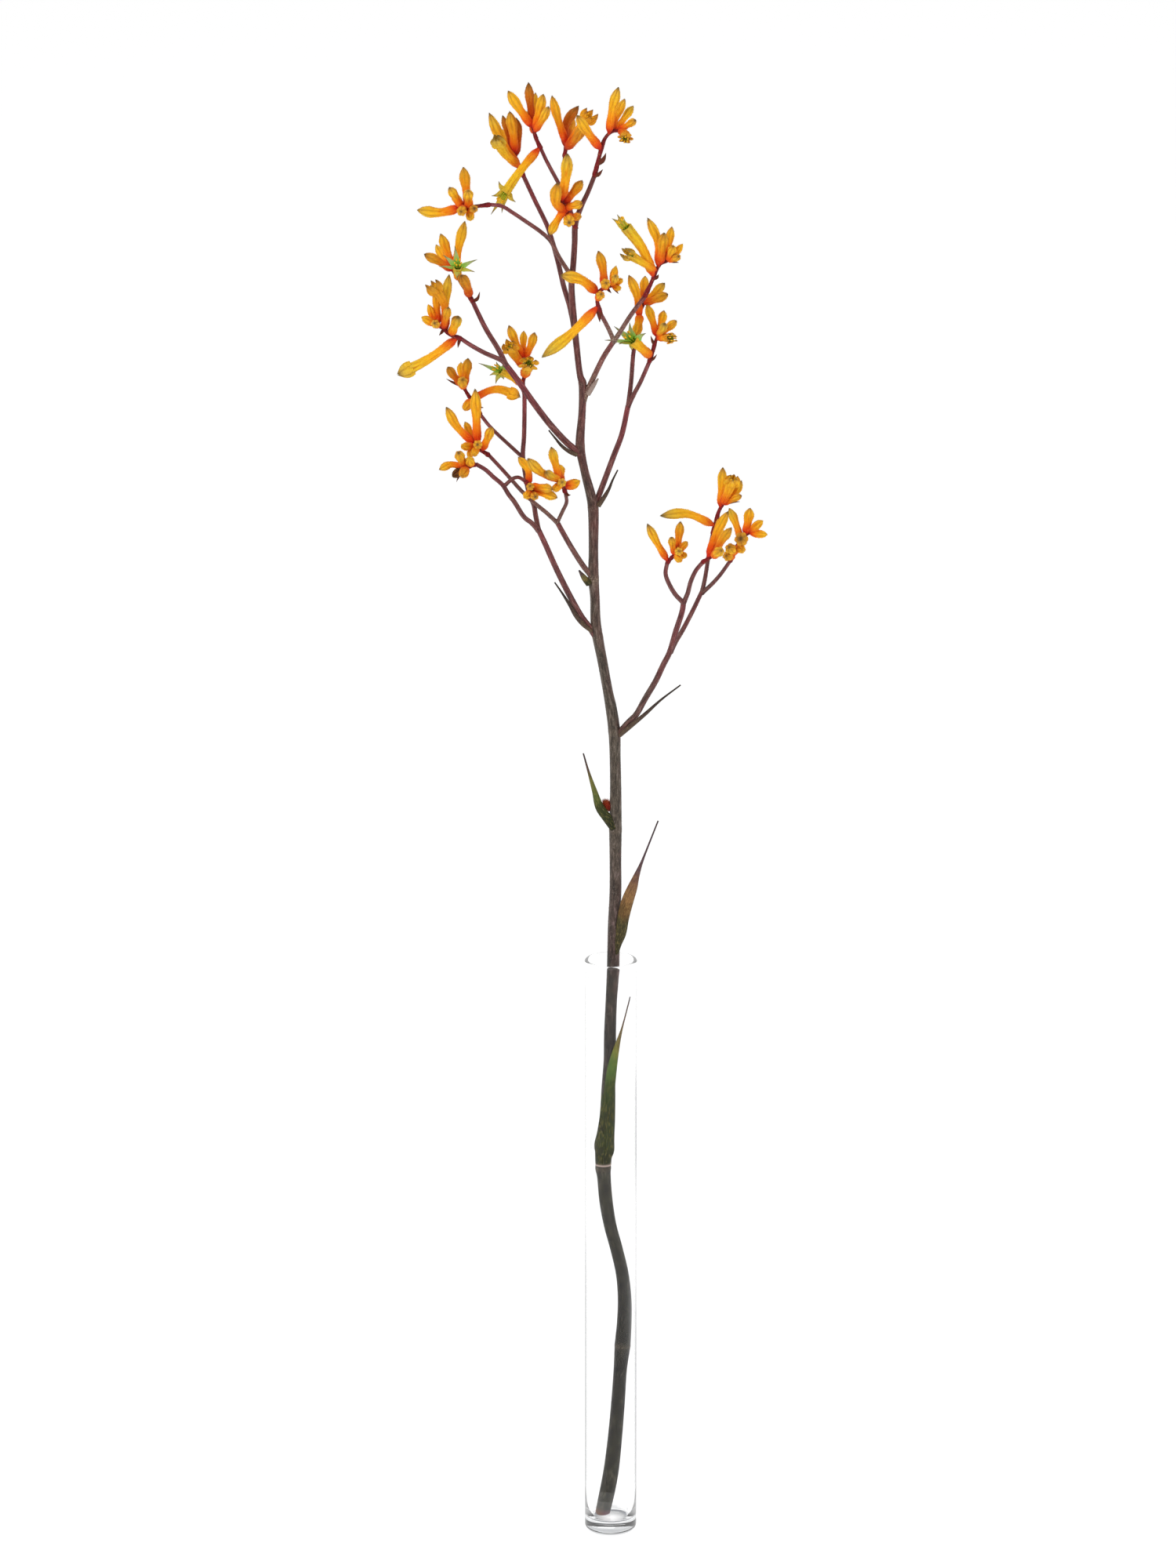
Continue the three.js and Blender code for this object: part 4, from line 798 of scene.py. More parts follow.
def add_hairs(pile, surface, draw, density=HAIR_DENSITY, length=HAIR_LENGTH, radius=HAIR_RADIUS, pale=1.0):
    """Short pointed hairs on a grid surface, `density` to a square millimetre, leaning forward."""
    grid = surface["grid"]
    normals = grid_normals(grid)
    forward = unit(np.gradient(grid, axis=0))
    nexts = np.roll(grid, -1, axis=1)
    areas = np.linalg.norm(np.cross(nexts[:-1] - grid[:-1], grid[1:] - grid[:-1]), axis=-1)
    count = int(density * areas.sum() / MM**2)
    if count < 1:
        return
    cells = draw.choice(areas.size, count, p=(areas / areas.sum()).ravel())
    ring, corner = np.divmod(cells, grid.shape[1])
    across, up = draw.random((2, count, 1))

    def spread(values):
        beside = np.roll(values, -1, axis=1)
        low = values[ring, corner] * (1 - across) + beside[ring, corner] * across
        high = values[ring + 1, corner] * (1 - across) + beside[ring + 1, corner] * across
        return low * (1 - up) + high * up

    root, normal, way = spread(grid), unit(spread(normals)), unit(spread(forward))
    wild = draw.normal(0, HAIR_WILDNESS, (count, 3))
    rise = unit(normal * math.cos(HAIR_LEAN) + way * math.sin(HAIR_LEAN) + wild)
    reach = length * (HAIR_SHORTEST + HAIR_MORE * draw.random((count, 1)))
    first = unit(np.cross(rise, unit(draw.normal(0, 1, (count, 3)))))
    second = np.cross(rise, first)
    root = root - normal * HAIR_SUNK
    corners = [root + radius * (math.cos(a) * first + math.sin(a) * second)
               for a in (0, 2 * math.pi / 3, 4 * math.pi / 3)]
    points = np.stack(corners + [root + rise * reach], axis=1)
    base = np.arange(count)[:, None] * 4
    faces = [base + np.array(triple) for triple in ((0, 1, 3), (1, 2, 3), (2, 0, 3))]
    look, kind, grain = (np.repeat(spread(surface[key]), 4, axis=0) for key in ("look", "kind", "grain"))
    kind[:, 0] = pale * np.tile(HAIR_PALENESS, count)
    pile.add(points, faces, look, kind, grain)


# Outlines of a flower from its narrow foot: the share of its length, and the radius there as a share of
# its half width
SHORT_BUD = [(0, 0.3), (0.1, 0.6), (0.25, 0.9), (0.5, 1.08), (0.68, 1.04), (0.82, 0.78), (0.92, 0.42),
             (1, 0.05)]
LONG_BUD = [(0, 0.3), (0.05, 0.44), (0.11, 0.74), (0.18, 0.88), (0.28, 0.85), (0.38, 0.78), (0.48, 0.8),
            (0.6, 0.95), (0.72, 1.08), (0.82, 0.95), (0.9, 0.66), (0.96, 0.33), (1, 0.05)]
TUBE = [(0, 0.3), (0.06, 0.5), (0.13, 0.82), (0.22, 0.9), (0.4, 0.82), (0.7, 0.94), (1, 1.08)]
LONG_BUD_FROM = 13 * MM
FLOWER_RINGS = 30
# How much of the rings' spacing is even, and how much closes up towards the tip
RINGS_EVEN = 0.55
RINGS_CLOSING = 0.45
FLOWER_SIDES = 24
LOBES = 6
# How deep the seams are in a flower's tube, in its upper part and at a bud's tip, and how uneven the wool is
TUBE_SEAM = 0.05
LIMB_SEAM = 0.17
TIP_SEAM = 0.3
WOOL = 0.022


def flower_shares():
    """Where a flower's rings are, as shares of its length, closer together towards its round tip."""
    even = np.linspace(0, 1, FLOWER_RINGS)
    return RINGS_EVEN * even + RINGS_CLOSING * np.sin(even * math.pi / 2)


def seams(draw):
    """How deep each side of a flower lies between its lobes, from 0 on a ridge to 1 in a seam."""
    angles = all_round(FLOWER_SIDES)
    return np.roll(1 - np.abs(np.cos(angles * LOBES / 2)), draw.integers(FLOWER_SIDES // LOBES))


def rising(values, start, end):
    """0 up to start, 1 from end on, and a smooth rise between."""
    share = np.clip((values - start) / (end - start), 0, 1)
    return share * share * (3 - 2 * share)


def woolly_radii(outline, shares, half_width, seam, draw, closed):
    """Radii of a slightly uneven flower with six seams, deeper in its upper part and deepest at the tip."""
    depth = TUBE_SEAM + (LIMB_SEAM - TUBE_SEAM) * rising(shares, 0.4, 0.7)
    if closed:
        depth = depth + (TIP_SEAM - LIMB_SEAM) * rising(shares, 0.85, 1)
    wool = 1 + draw.normal(0, WOOL, (len(shares), FLOWER_SIDES))
    return eased(outline, shares)[:, None] * half_width * MM * (1 - depth[:, None] * seam) * wool


def flower_line(row, stalk_points):
    """The flower's line from its seat in the stalk to its tip."""
    _, foot_x, foot_y, foot_depth, tip_x, tip_y, tip_depth, _, bow = (*row, 0)[:9]
    foot = seen(foot_x, foot_y, foot_depth)
    across = np.array([foot_y - tip_y, tip_x - foot_x], float)
    middle_x, middle_y = (
        np.array([foot_x + tip_x, foot_y + tip_y]) / 2 + bow * across / max(np.hypot(*across), 1)
    )
    middle = seen(middle_x, middle_y, (foot_depth + tip_depth) / 2)
    seat = nearest_on_line(stalk_points, foot)
    return smooth_rows([seat, middle, seen(tip_x, tip_y, tip_depth)], 14)


def nearest_on_line(points, target):
    best = points[0]
    for start, end in zip(points, points[1:]):
        way = end - start
        near = start + way * np.clip((target - start) @ way / (way @ way), 0, 1)
        if np.linalg.norm(near - target) < np.linalg.norm(best - target):
            best = near
    return best


# How dark a seam is in the upper part of a flower, and the very tip of a long and of a short bud
SEAM_DARK = 0.42
TIP_DARK = 0.6
BALL_TIP_DARK = 0.1
# How far up the range of colours a short bud's tip comes
BALL_ALONG = 0.9


def add_bud(pile, line, width, tone, draw, density=HAIR_DENSITY, hair_length=HAIR_LENGTH, reach=1.0):
    """A closed flower. `reach` is how far up the range of colours it comes."""
    shares = flower_shares()
    long = length_along(line)[-1] > LONG_BUD_FROM
    outline, tip_dark, top = (LONG_BUD, TIP_DARK, 1) if long else (SHORT_BUD, BALL_TIP_DARK, BALL_ALONG)
    along = shares * top * reach
    seam = seams(draw)
    radii = woolly_radii(outline, shares, width / 2, seam, draw, closed=True)
    grid = ring_grid(frames_along(rows_at(line, shares)), radii, FLOWER_SIDES)
    kind = np.zeros((FLOWER_RINGS, FLOWER_SIDES, 3))
    kind[..., 2] = SEAM_DARK * rising(shares, 0.35, 0.7)[:, None] * seam
    kind[..., 2] = np.maximum(kind[..., 2], tip_dark * rising(shares, 0.93, 0.985)[:, None])
    surface = add_grid(pile, grid, tone, kind=kind, along=along, offset=draw.uniform(0, 50))
    add_hairs(pile, surface, draw, density, hair_length)


# Open flowers: how much of the length is tube, how wide the lobes stand, and how thick the wall is
OPEN_TUBE_SHARE = 0.8
OPEN_LOBE_ROOT = 0.47
LOBE_ROOT_DEPTH = 0.2
LOBE_WIDTH = 0.66
LOBE_BOW = 0.13
LOBE_RINGS = 14
LOBE_CORNERS = 12
LOBE_OUTLINE = [(0, 0.75), (0.25, 1.0), (0.55, 0.84), (0.82, 0.42), (1, 0.04)]
# How much of the green inside a lobe its outside has, and how dark its tip is
OUTER_GREEN = 0.45
LOBE_TIP_DARK = 0.5
STAR_LOBE_OUTLINE = [(0, 0.8), (0.18, 1.0), (0.45, 0.74), (0.75, 0.3), (1, 0.03)]
WALL_SHARE = 0.82
THROAT_RINGS = 8
OPEN_STAMEN_REACH = 0.35


def add_open_tube(pile, line, width, tone, draw, share=1.0, along_end=1.0, depth=1.0):
    """A flower's tube with an open mouth, its green throat inside, which darkens inward with painted shade,
    and the frame at the mouth.
    """
    shares = flower_shares()
    frames = frames_along(rows_at(line, shares * share))
    seam = seams(draw)
    outer = woolly_radii(TUBE, shares, width / 2, seam, draw, closed=False)
    skin = ring_grid(frames, outer, FLOWER_SIDES)
    inward = np.arange(FLOWER_RINGS - 1, FLOWER_RINGS - 1 - THROAT_RINGS, -1)
    inner = outer[inward] * WALL_SHARE * np.linspace(1, 0.75, THROAT_RINGS)[:, None]
    throat = ring_grid(frames[:, inward], inner, FLOWER_SIDES)
    grid = np.concatenate([skin, throat])
    kind = np.zeros((len(grid), FLOWER_SIDES, 3))
    kind[:FLOWER_RINGS, :, 2] = SEAM_DARK * 0.7 * rising(shares, 0.5, 1)[:, None] * seam
    kind[FLOWER_RINGS:, :, 1] = depth * np.linspace(0.6, 1, THROAT_RINGS)[:, None]
    # Painted shade: the throat darkens towards its depths
    kind[FLOWER_RINGS:, :, 2] = depth * np.linspace(0, 0.85, THROAT_RINGS)[:, None]
    along = np.concatenate([shares, shares[inward]]) * along_end
    surface = add_grid(pile, grid, tone, kind=kind, along=along, offset=draw.uniform(0, 50))
    woolly = {key: value[:FLOWER_RINGS] for key, value in surface.items()}
    add_hairs(pile, woolly, draw)
    return frames[:, -1]


def add_lobe(pile, start, end, face, width, tone, draw, outline=LOBE_OUTLINE, green=0.0, fold=0.25,
             curl=0.0):
    """A pointed lobe from start to end. Its inner side, which may be green, looks along `face`."""
    way = end - start
    middle = (start + end) / 2 + face * width * MM * LOBE_BOW
    tip = end + face * np.linalg.norm(way) * curl
    shares = np.linspace(0, 1, LOBE_RINGS)
    line = rows_at(smooth_rows([start, middle, tip], 8), shares)
    frames = frames_along(line, np.cross(way, face))
    half = eased(outline, shares) * width * MM * LOBE_WIDTH / 2
    grid = blade_grid(frames, half, LOBE_THICKNESS * MM, fold=fold, corners=LOBE_CORNERS)
    inner = np.sin(all_round(LOBE_CORNERS)) > -0.1
    kind = np.zeros((LOBE_RINGS, LOBE_CORNERS, 3))
    kind[..., 1] = green * np.where(inner, 1, OUTER_GREEN)
    kind[..., 2] = LOBE_TIP_DARK * rising(shares, 0.6, 1)[:, None]
    along = np.linspace(0.72, 1, LOBE_RINGS)
    surface = add_grid(pile, grid, tone, kind=kind, along=along, offset=draw.uniform(0, 50))
    add_hairs(pile, surface, draw, HAIR_DENSITY * 0.7, HAIR_LENGTH * 0.7, HAIR_RADIUS * 0.8)


ANTHER_LENGTH = 1.9
ANTHER_RADIUS = 0.4
ANTHER_SUNK = 0.3
ANTHER_RINGS = 7
ANTHER_SIDES = 8
FILAMENT_RADIUS = 0.2
FILAMENT_RINGS = 6
FILAMENT_SIDES = 6
# In widths of the flower: how deep in the throat the stamens start, and how far they fan out, of which
# their feet and ends have these shares
STAMEN_DEPTH = 0.7
STAMEN_SPREAD = 0.2
FOOT_SPREAD = 0.6
END_SPREAD = 1.6
# Where their yellow lies in the flowers' range of colours
STAMEN_ALONG = 0.6
ANTHER_OUTLINE = [(0, 0.4), (0.2, 0.9), (0.6, 1.0), (0.9, 0.7), (1, 0.1)]


def add_stamens(pile, mouth, width, draw, reach):
    """Six stamens and a style that stand out of the throat by `reach` widths."""
    for i in range(LOBES + 1):
        spread = 0 if i == LOBES else STAMEN_SPREAD
        outward = spoke(mouth, 2 * math.pi * i / LOBES) * width * MM
        root = mouth[CENTRE] - mouth[FORWARD] * width * MM * STAMEN_DEPTH + outward * spread * FOOT_SPREAD
        end = mouth[CENTRE] + mouth[FORWARD] * width * MM * reach * draw.uniform(0.75, 1.1)
        end = end + outward * spread * END_SPREAD
        line = rows_at(smooth_rows([root, end], 6), np.linspace(0, 1, FILAMENT_RINGS))
        radii = np.full(FILAMENT_RINGS, FILAMENT_RADIUS * MM)
        grid = ring_grid(frames_along(line), radii, FILAMENT_SIDES)
        add_grid(pile, grid, 0.9, kind=(0, 0.75, 0), along=np.full(FILAMENT_RINGS, STAMEN_ALONG))
        if i < LOBES:
            way = unit(end - root)
            tip = end + way * ANTHER_LENGTH * MM
            shares = np.linspace(0, 1, ANTHER_RINGS)
            line = rows_at(np.array([end - way * ANTHER_SUNK * MM, tip]), shares)
            radii = eased(ANTHER_OUTLINE, shares) * ANTHER_RADIUS * MM
            grid = ring_grid(frames_along(line), radii, ANTHER_SIDES)
            add_grid(pile, grid, 0.85, along=np.full(ANTHER_RINGS, STAMEN_ALONG))


def add_open_flower(pile, line, width, tone, draw, spread):
    """A tube up to its mouth and six lobes fanned out from there."""
    mouth = add_open_tube(pile, line, width, tone, draw, OPEN_TUBE_SHARE, 0.82)
    tip = line[-1]
    for i in range(LOBES):
        outward = spoke(mouth, (i + 0.5) / LOBES * math.pi * 2)
        start = mouth[CENTRE] + outward * width * MM * OPEN_LOBE_ROOT
        start = start - mouth[FORWARD] * width * MM * LOBE_ROOT_DEPTH
        end = tip + outward * width * MM * spread * draw.uniform(0.75, 1.25)
        end = end + mouth[FORWARD] * width * MM * draw.uniform(-0.15, 0.1)
        add_lobe(pile, start, end, outward, width * 1.1, tone, draw, curl=spread * draw.uniform(0, 0.35))
    add_stamens(pile, mouth, width, draw, OPEN_STAMEN_REACH)


# How green the lobes of a wide open flower are inside, and how green its throat is and how dark with painted
# shade deep inside, and how green from the tone on that makes them olive
STAR_GREEN_AND_THROAT_SHADE = (0.95, 1.0)
OLIVE_STAR_TONE = 0.93
OLIVE_STAR_GREEN_AND_THROAT_SHADE = (0.1, 0.25)
STAR_STAMEN_REACH = 0.75


def add_star_flower(pile, line, width, tone, draw, lobe_tips, tip_depth):
    """A wide open flower, whose lobes reach to the places where their tips show."""
    # The second value sets how green the throat is and how dark with painted shade
    green, depth = STAR_GREEN_AND_THROAT_SHADE if tone < OLIVE_STAR_TONE else OLIVE_STAR_GREEN_AND_THROAT_SHADE
    mouth = add_open_tube(pile, line, width, tone, draw, 0.97, 0.8, depth)
    heart = mouth[CENTRE] - mouth[FORWARD] * width * MM * LOBE_ROOT_DEPTH
    for x, y in lobe_tips:
        end = seen(x, y, tip_depth)
        start = heart + unit(end - heart) * width * MM * 0.3
        add_lobe(pile, start, end, mouth[FORWARD], width, tone, draw, STAR_LOBE_OUTLINE, green, 0.5)
    add_stamens(pile, mouth, width, draw, STAR_STAMEN_REACH)


STEM_HAIR_LENGTH = 0.4 * MM
STEM_HAIR_PALENESS = 0.6
SCALE_OUTLINE = [(0, 0.8), (0.3, 1), (0.7, 0.55), (1, 0.05)]
SCALE_RINGS = 10
SCALE_THICKNESS = 0.5
SCALE_DARK = 0.55
SCALE_HAIR_DENSITY = 1.5


def add_scale(pile, line, width, draw):
    """A small dark bract on a stalk."""
    shares = np.linspace(0, 1, SCALE_RINGS)
    half = eased(SCALE_OUTLINE, shares) * width * MM / 2
    grid = blade_grid(frames_along(rows_at(line, shares)), half, SCALE_THICKNESS * MM, fold=0.3)
    surface = add_grid(pile, grid, 0.0, mark=1.0, kind=(0, 0, SCALE_DARK), along=np.ones(SCALE_RINGS))
    add_hairs(pile, surface, draw, SCALE_HAIR_DENSITY, STEM_HAIR_LENGTH, pale=STEM_HAIR_PALENESS)


STALK_RINGS = 26
STALK_SIDES = 14
STALK_TONE = 0.1
STALK_HAIR_DENSITY = 2.2
STALK_HAIR_LENGTH = 0.42 * MM
STALK_HAIR_PALENESS = 0.5


def add_stalk(pile, points, draw):
    """The short red stalk that the flowers of a head sit on, knobbly where they leave it."""
    line = rows_at(smooth_rows(points, 12), np.linspace(0, 1, STALK_RINGS))
    radii = np.linspace(STALK_FOOT_DIAMETER, STALK_TIP_DIAMETER, STALK_RINGS)[:, None] / 2 * MM
    waves = 0.1 * np.sin(np.linspace(0, 14, STALK_RINGS))[:, None]
    knobs = 1 + draw.normal(0, 0.05, (STALK_RINGS, STALK_SIDES)) + waves
    grid = ring_grid(frames_along(line), radii * knobs, STALK_SIDES)
    surface = add_grid(pile, grid, STALK_TONE, mark=1.0, along=np.zeros(STALK_RINGS))
    add_hairs(pile, surface, draw, STALK_HAIR_DENSITY, STALK_HAIR_LENGTH, pale=STALK_HAIR_PALENESS)


def make_head(name, head, seed):
    draw = np.random.default_rng(seed)
    pile = Pile()
    points = np.array([seen(*row) for row in head["stalk"]])
    add_stalk(pile, points, draw)
    tones, spreads = TONES.get(name, {}), LOBE_SPREADS.get(name, {})
    for i, row in enumerate(head["flowers"]):
        form, tip_depth, width = row[0], row[6], row[7]
        line = flower_line(row, points)
        tone = tones.get(i, USUAL_TONE + draw.normal(0, TONE_SPREAD))
        if form == BUD:
            add_bud(pile, line, width, tone, draw)
        elif form == OPEN:
            add_open_flower(pile, line, width, tone, draw, spreads.get(i, USUAL_LOBE_SPREAD))
        elif form == STAR:
            add_star_flower(pile, line, width, tone, draw, row[9], tip_depth)
        else:
            add_scale(pile, line, width, draw)
    return pile


STEM_SIDES = 28
BRANCH_SIDES = 18
STEM_HAIR_DENSITY = 0.9
BRANCH_HAIR_DENSITY = 2.0
STEM_STREAK = 0.012
# Where the main stem's nodes show, as pixel rows
NODE_ROWS = (1715, 1489, 1058, 932, 813, 738, 647, 569, 489)
NODE_REACH = 1.3 * MM
NODE_SWELL = 0.04
# How far up from the cut the bruised skin shows
SAWN_REACH = 3 * MM
# The row of the node whose ring is pale with down
DOWNY_ROW = 739
# The skin's colour at heights in metres: from -0.4, black-green, over 0, dark, and 0.4, grey-brown, to 1,
# maroon
SKIN_HEIGHTS = (0.04, 0.08, 0.14, 0.18, 0.3, 0.335, 0.48, 0.62, 0.74)
SKIN_STAGES = (0.0, -0.4, -0.4, 0.0, 0.0, 0.36, 0.42, 0.72, 1.0)


def stem_tones(line):
    return np.interp(line[:, 2], SKIN_HEIGHTS, SKIN_STAGES)


def make_main_stem(draw):
    """The stem, cut off flat just above the vase's floor, with downy rings at its nodes."""
    pile = Pile()
    rows = thick_rows(MAIN_STEM)
    line = smooth_rows(rows, 7)
    sought = [seen(FRAME_CENTRE_X, y, 3)[2] for y in NODE_ROWS]
    nodes = [min((row[2] for row in rows), key=lambda z, to=to: abs(z - to)) for to in sought]
    near = np.exp(-np.min([((line[:, 2] - z) / NODE_REACH) ** 2 for z in nodes], axis=0))
    downy = np.exp(-(((line[:, 2] - seen(FRAME_CENTRE_X, DOWNY_ROW, 2)[2]) / (2 * NODE_REACH)) ** 2))
    radii = line[:, 3:] * (1 + draw.normal(0, STEM_STREAK, STEM_SIDES) + NODE_SWELL * near[:, None])
    grid = ring_grid(frames_along(line), radii, STEM_SIDES)
    cut = (VASE_FLOOR + SEAT_GAP) * MM
    sawn = np.clip(1 - (grid[..., 2].min(axis=1) - cut) / SAWN_REACH, 0, 1)
    grid[..., 2] = np.maximum(grid[..., 2], cut)
    kind = np.stack([np.zeros_like(sawn), np.zeros_like(sawn), sawn * 0.8], axis=-1)
    pale = np.maximum(0.2 * near, 0.8 * downy)
    surface = add_grid(pile, grid, stem_tones(line)[:, None], mark=pale, kind=kind)
    woolly = {key: value[len(line) // 3:] for key, value in surface.items()}
    add_hairs(pile, woolly, draw, STEM_HAIR_DENSITY, STEM_HAIR_LENGTH, pale=STEM_HAIR_PALENESS)
    return pile


# How pale and woolly a branch is, from 0 to 1
PALE_BRANCHES = {"branch_high_right": 0.75, "branch_middle_left": 0.45, "crown_front": 0.3}
# How much redder than the stem a branch starts, and how much redder again it ends
BRANCH_RED = 0.25
BRANCH_END_RED = 0.42
# The knot at a branch's foot: how much thicker it is, and how far it reaches
KNOT_SWELL = 0.12
KNOT_REACH = 1.6 * MM


def make_branch(name, runs, draw):
    pile = Pile()
    for start_diameter, end_diameter, points in runs:
        rows = np.array([seen(*row) for row in points])
        radii = np.linspace(start_diameter, end_diameter, len(rows)) / 2 * MM
        line = smooth_rows(np.column_stack([rows, radii]), 6)
        uneven = 1 + draw.normal(0, STEM_STREAK, BRANCH_SIDES)
        knot = KNOT_SWELL * np.exp(-(length_along(line) / KNOT_REACH) ** 2)
        grid = ring_grid(frames_along(line), line[:, 3:] * (uneven + knot[:, None]), BRANCH_SIDES)
        redder = np.minimum(stem_tones(line) + BRANCH_RED, 1)
        redder = redder + BRANCH_END_RED * rising(shares_along(line), 0.2, 1)
        pale = PALE_BRANCHES.get(name, 0) * np.linspace(1, 0.2, len(line))
        surface = add_grid(pile, grid, redder[:, None], mark=pale)
        add_hairs(pile, surface, draw, BRANCH_HAIR_DENSITY, STEM_HAIR_LENGTH, pale=STEM_HAIR_PALENESS)
    return pile


BRACT_CUP = 0.6
# How much finer than its table a bract's awn ends
AWN_TAPER = 0.1
BRACT_CORNERS = 20
# How brown each bract is, from 0, green, to 1
BRACT_TONES = {
    "sheath_blade": 0.15,
    "bract_above_vase": 0.55,
    "bract_left_green": 0.2,
    "bract_middle_left": 0.35,
}
USUAL_BRACT_TONE = 0.9
PALE_BRACTS = {"bract_high_right": 0.6}
COLLAR_SIDES = 40
# How far up the collar its pale rim reaches, and how far up a bract's range of colours the collar comes
COLLAR_RIM = 0.9 * MM
COLLAR_ALONG = 0.2


def make_bract(name, bract, draw):
    pile = Pile()
    tone = BRACT_TONES.get(name, USUAL_BRACT_TONE)
    line = smooth_rows(thick_rows(bract["line"]), 10)
    shares = shares_along(line)
    line[:, 3] *= 1 - AWN_TAPER * rising(shares, 0.6, 1)
    frames = frames_along(line)
    grid = blade_grid(frames, line[:, 3], BRACT_THICKNESS * MM, cup=BRACT_CUP, corners=BRACT_CORNERS)
    add_grid(pile, grid, tone, mark=PALE_BRACTS.get(name, 0.0), along=shares, offset=draw.uniform(0, 50))
    if "collar" in bract:
        line = smooth_rows(thick_rows(bract["collar"]), 8)
        grid = ring_grid(frames_along(line), line[:, 3:] * np.ones(COLLAR_SIDES), COLLAR_SIDES)
        rim = np.exp(-(length_along(line) / COLLAR_RIM) ** 2)
        add_grid(pile, grid, tone, mark=rim, along=np.linspace(0.0, COLLAR_ALONG, len(line)))
    return pile


TUFT_DENSITY = 9
TUFT_HAIR_LENGTH = 1.7 * MM
# The tuft keeps to the red end of the flowers' colours, and is dark
TUFT_REACH = 0.12
TUFT_TONE = -0.25


def make_axil_bud(draw):
    pile = Pile()
    line = smooth_rows([seen(*AXIL_BUD["foot"]), seen(*AXIL_BUD["tip"])], 10)
    add_bud(pile, line, AXIL_BUD["width"], TUFT_TONE, draw, TUFT_DENSITY, TUFT_HAIR_LENGTH, TUFT_REACH)
    return pile


def arc(centre_x, centre_z, radius, start, end, steps):
    """Points on an arc from one angle to another, in degrees."""
    angles = np.radians(np.linspace(start, end, steps))
    return [(centre_x + radius * math.cos(a), centre_z + radius * math.sin(a)) for a in angles]


# The wall's edges get a fine painted shade line, which stands in for dark surroundings seen through the
# glass: heights in metres, and how dark it is there
PAINTED_EDGE_SHADE_LEFT = ((0.06, 0.15, 0.18, 0.3), (1.0, 0.8, 0.2, 0.1))
PAINTED_EDGE_SHADE_RIGHT = ((0.12, 0.15, 0.19, 0.215, 0.255, 0.27, 0.31), (1.0, 0.3, 0.3, 1.0, 0.9, 0.1, 0.1))
# In millimetres: how high the vase's foot has a painted shade ring and its base painted grey bands outside,
# which stand in for refraction, and how fast that fades
PAINTED_FOOT_SHADE_TOP = 0.9
PAINTED_GREY_TOP = 7.5
PAINTED_GREY_FADE = 0.4
# How much of the glass's painted glow the grey part has, and from what height
PAINTED_BASE_GLOW = 0.22
PAINTED_BASE_GLOW_FROM = 1.2
# The sides get painted glow as well, low down and at the lip: from and fully at these shares of the radius,
# with this much of the glow low down, which fades between these heights
SIDES_FROM, SIDES_FULL = 0.6, 0.85
PAINTED_LOW_GLOW = 0.6
PAINTED_LOW_GLOW_FADE = (15, 25)


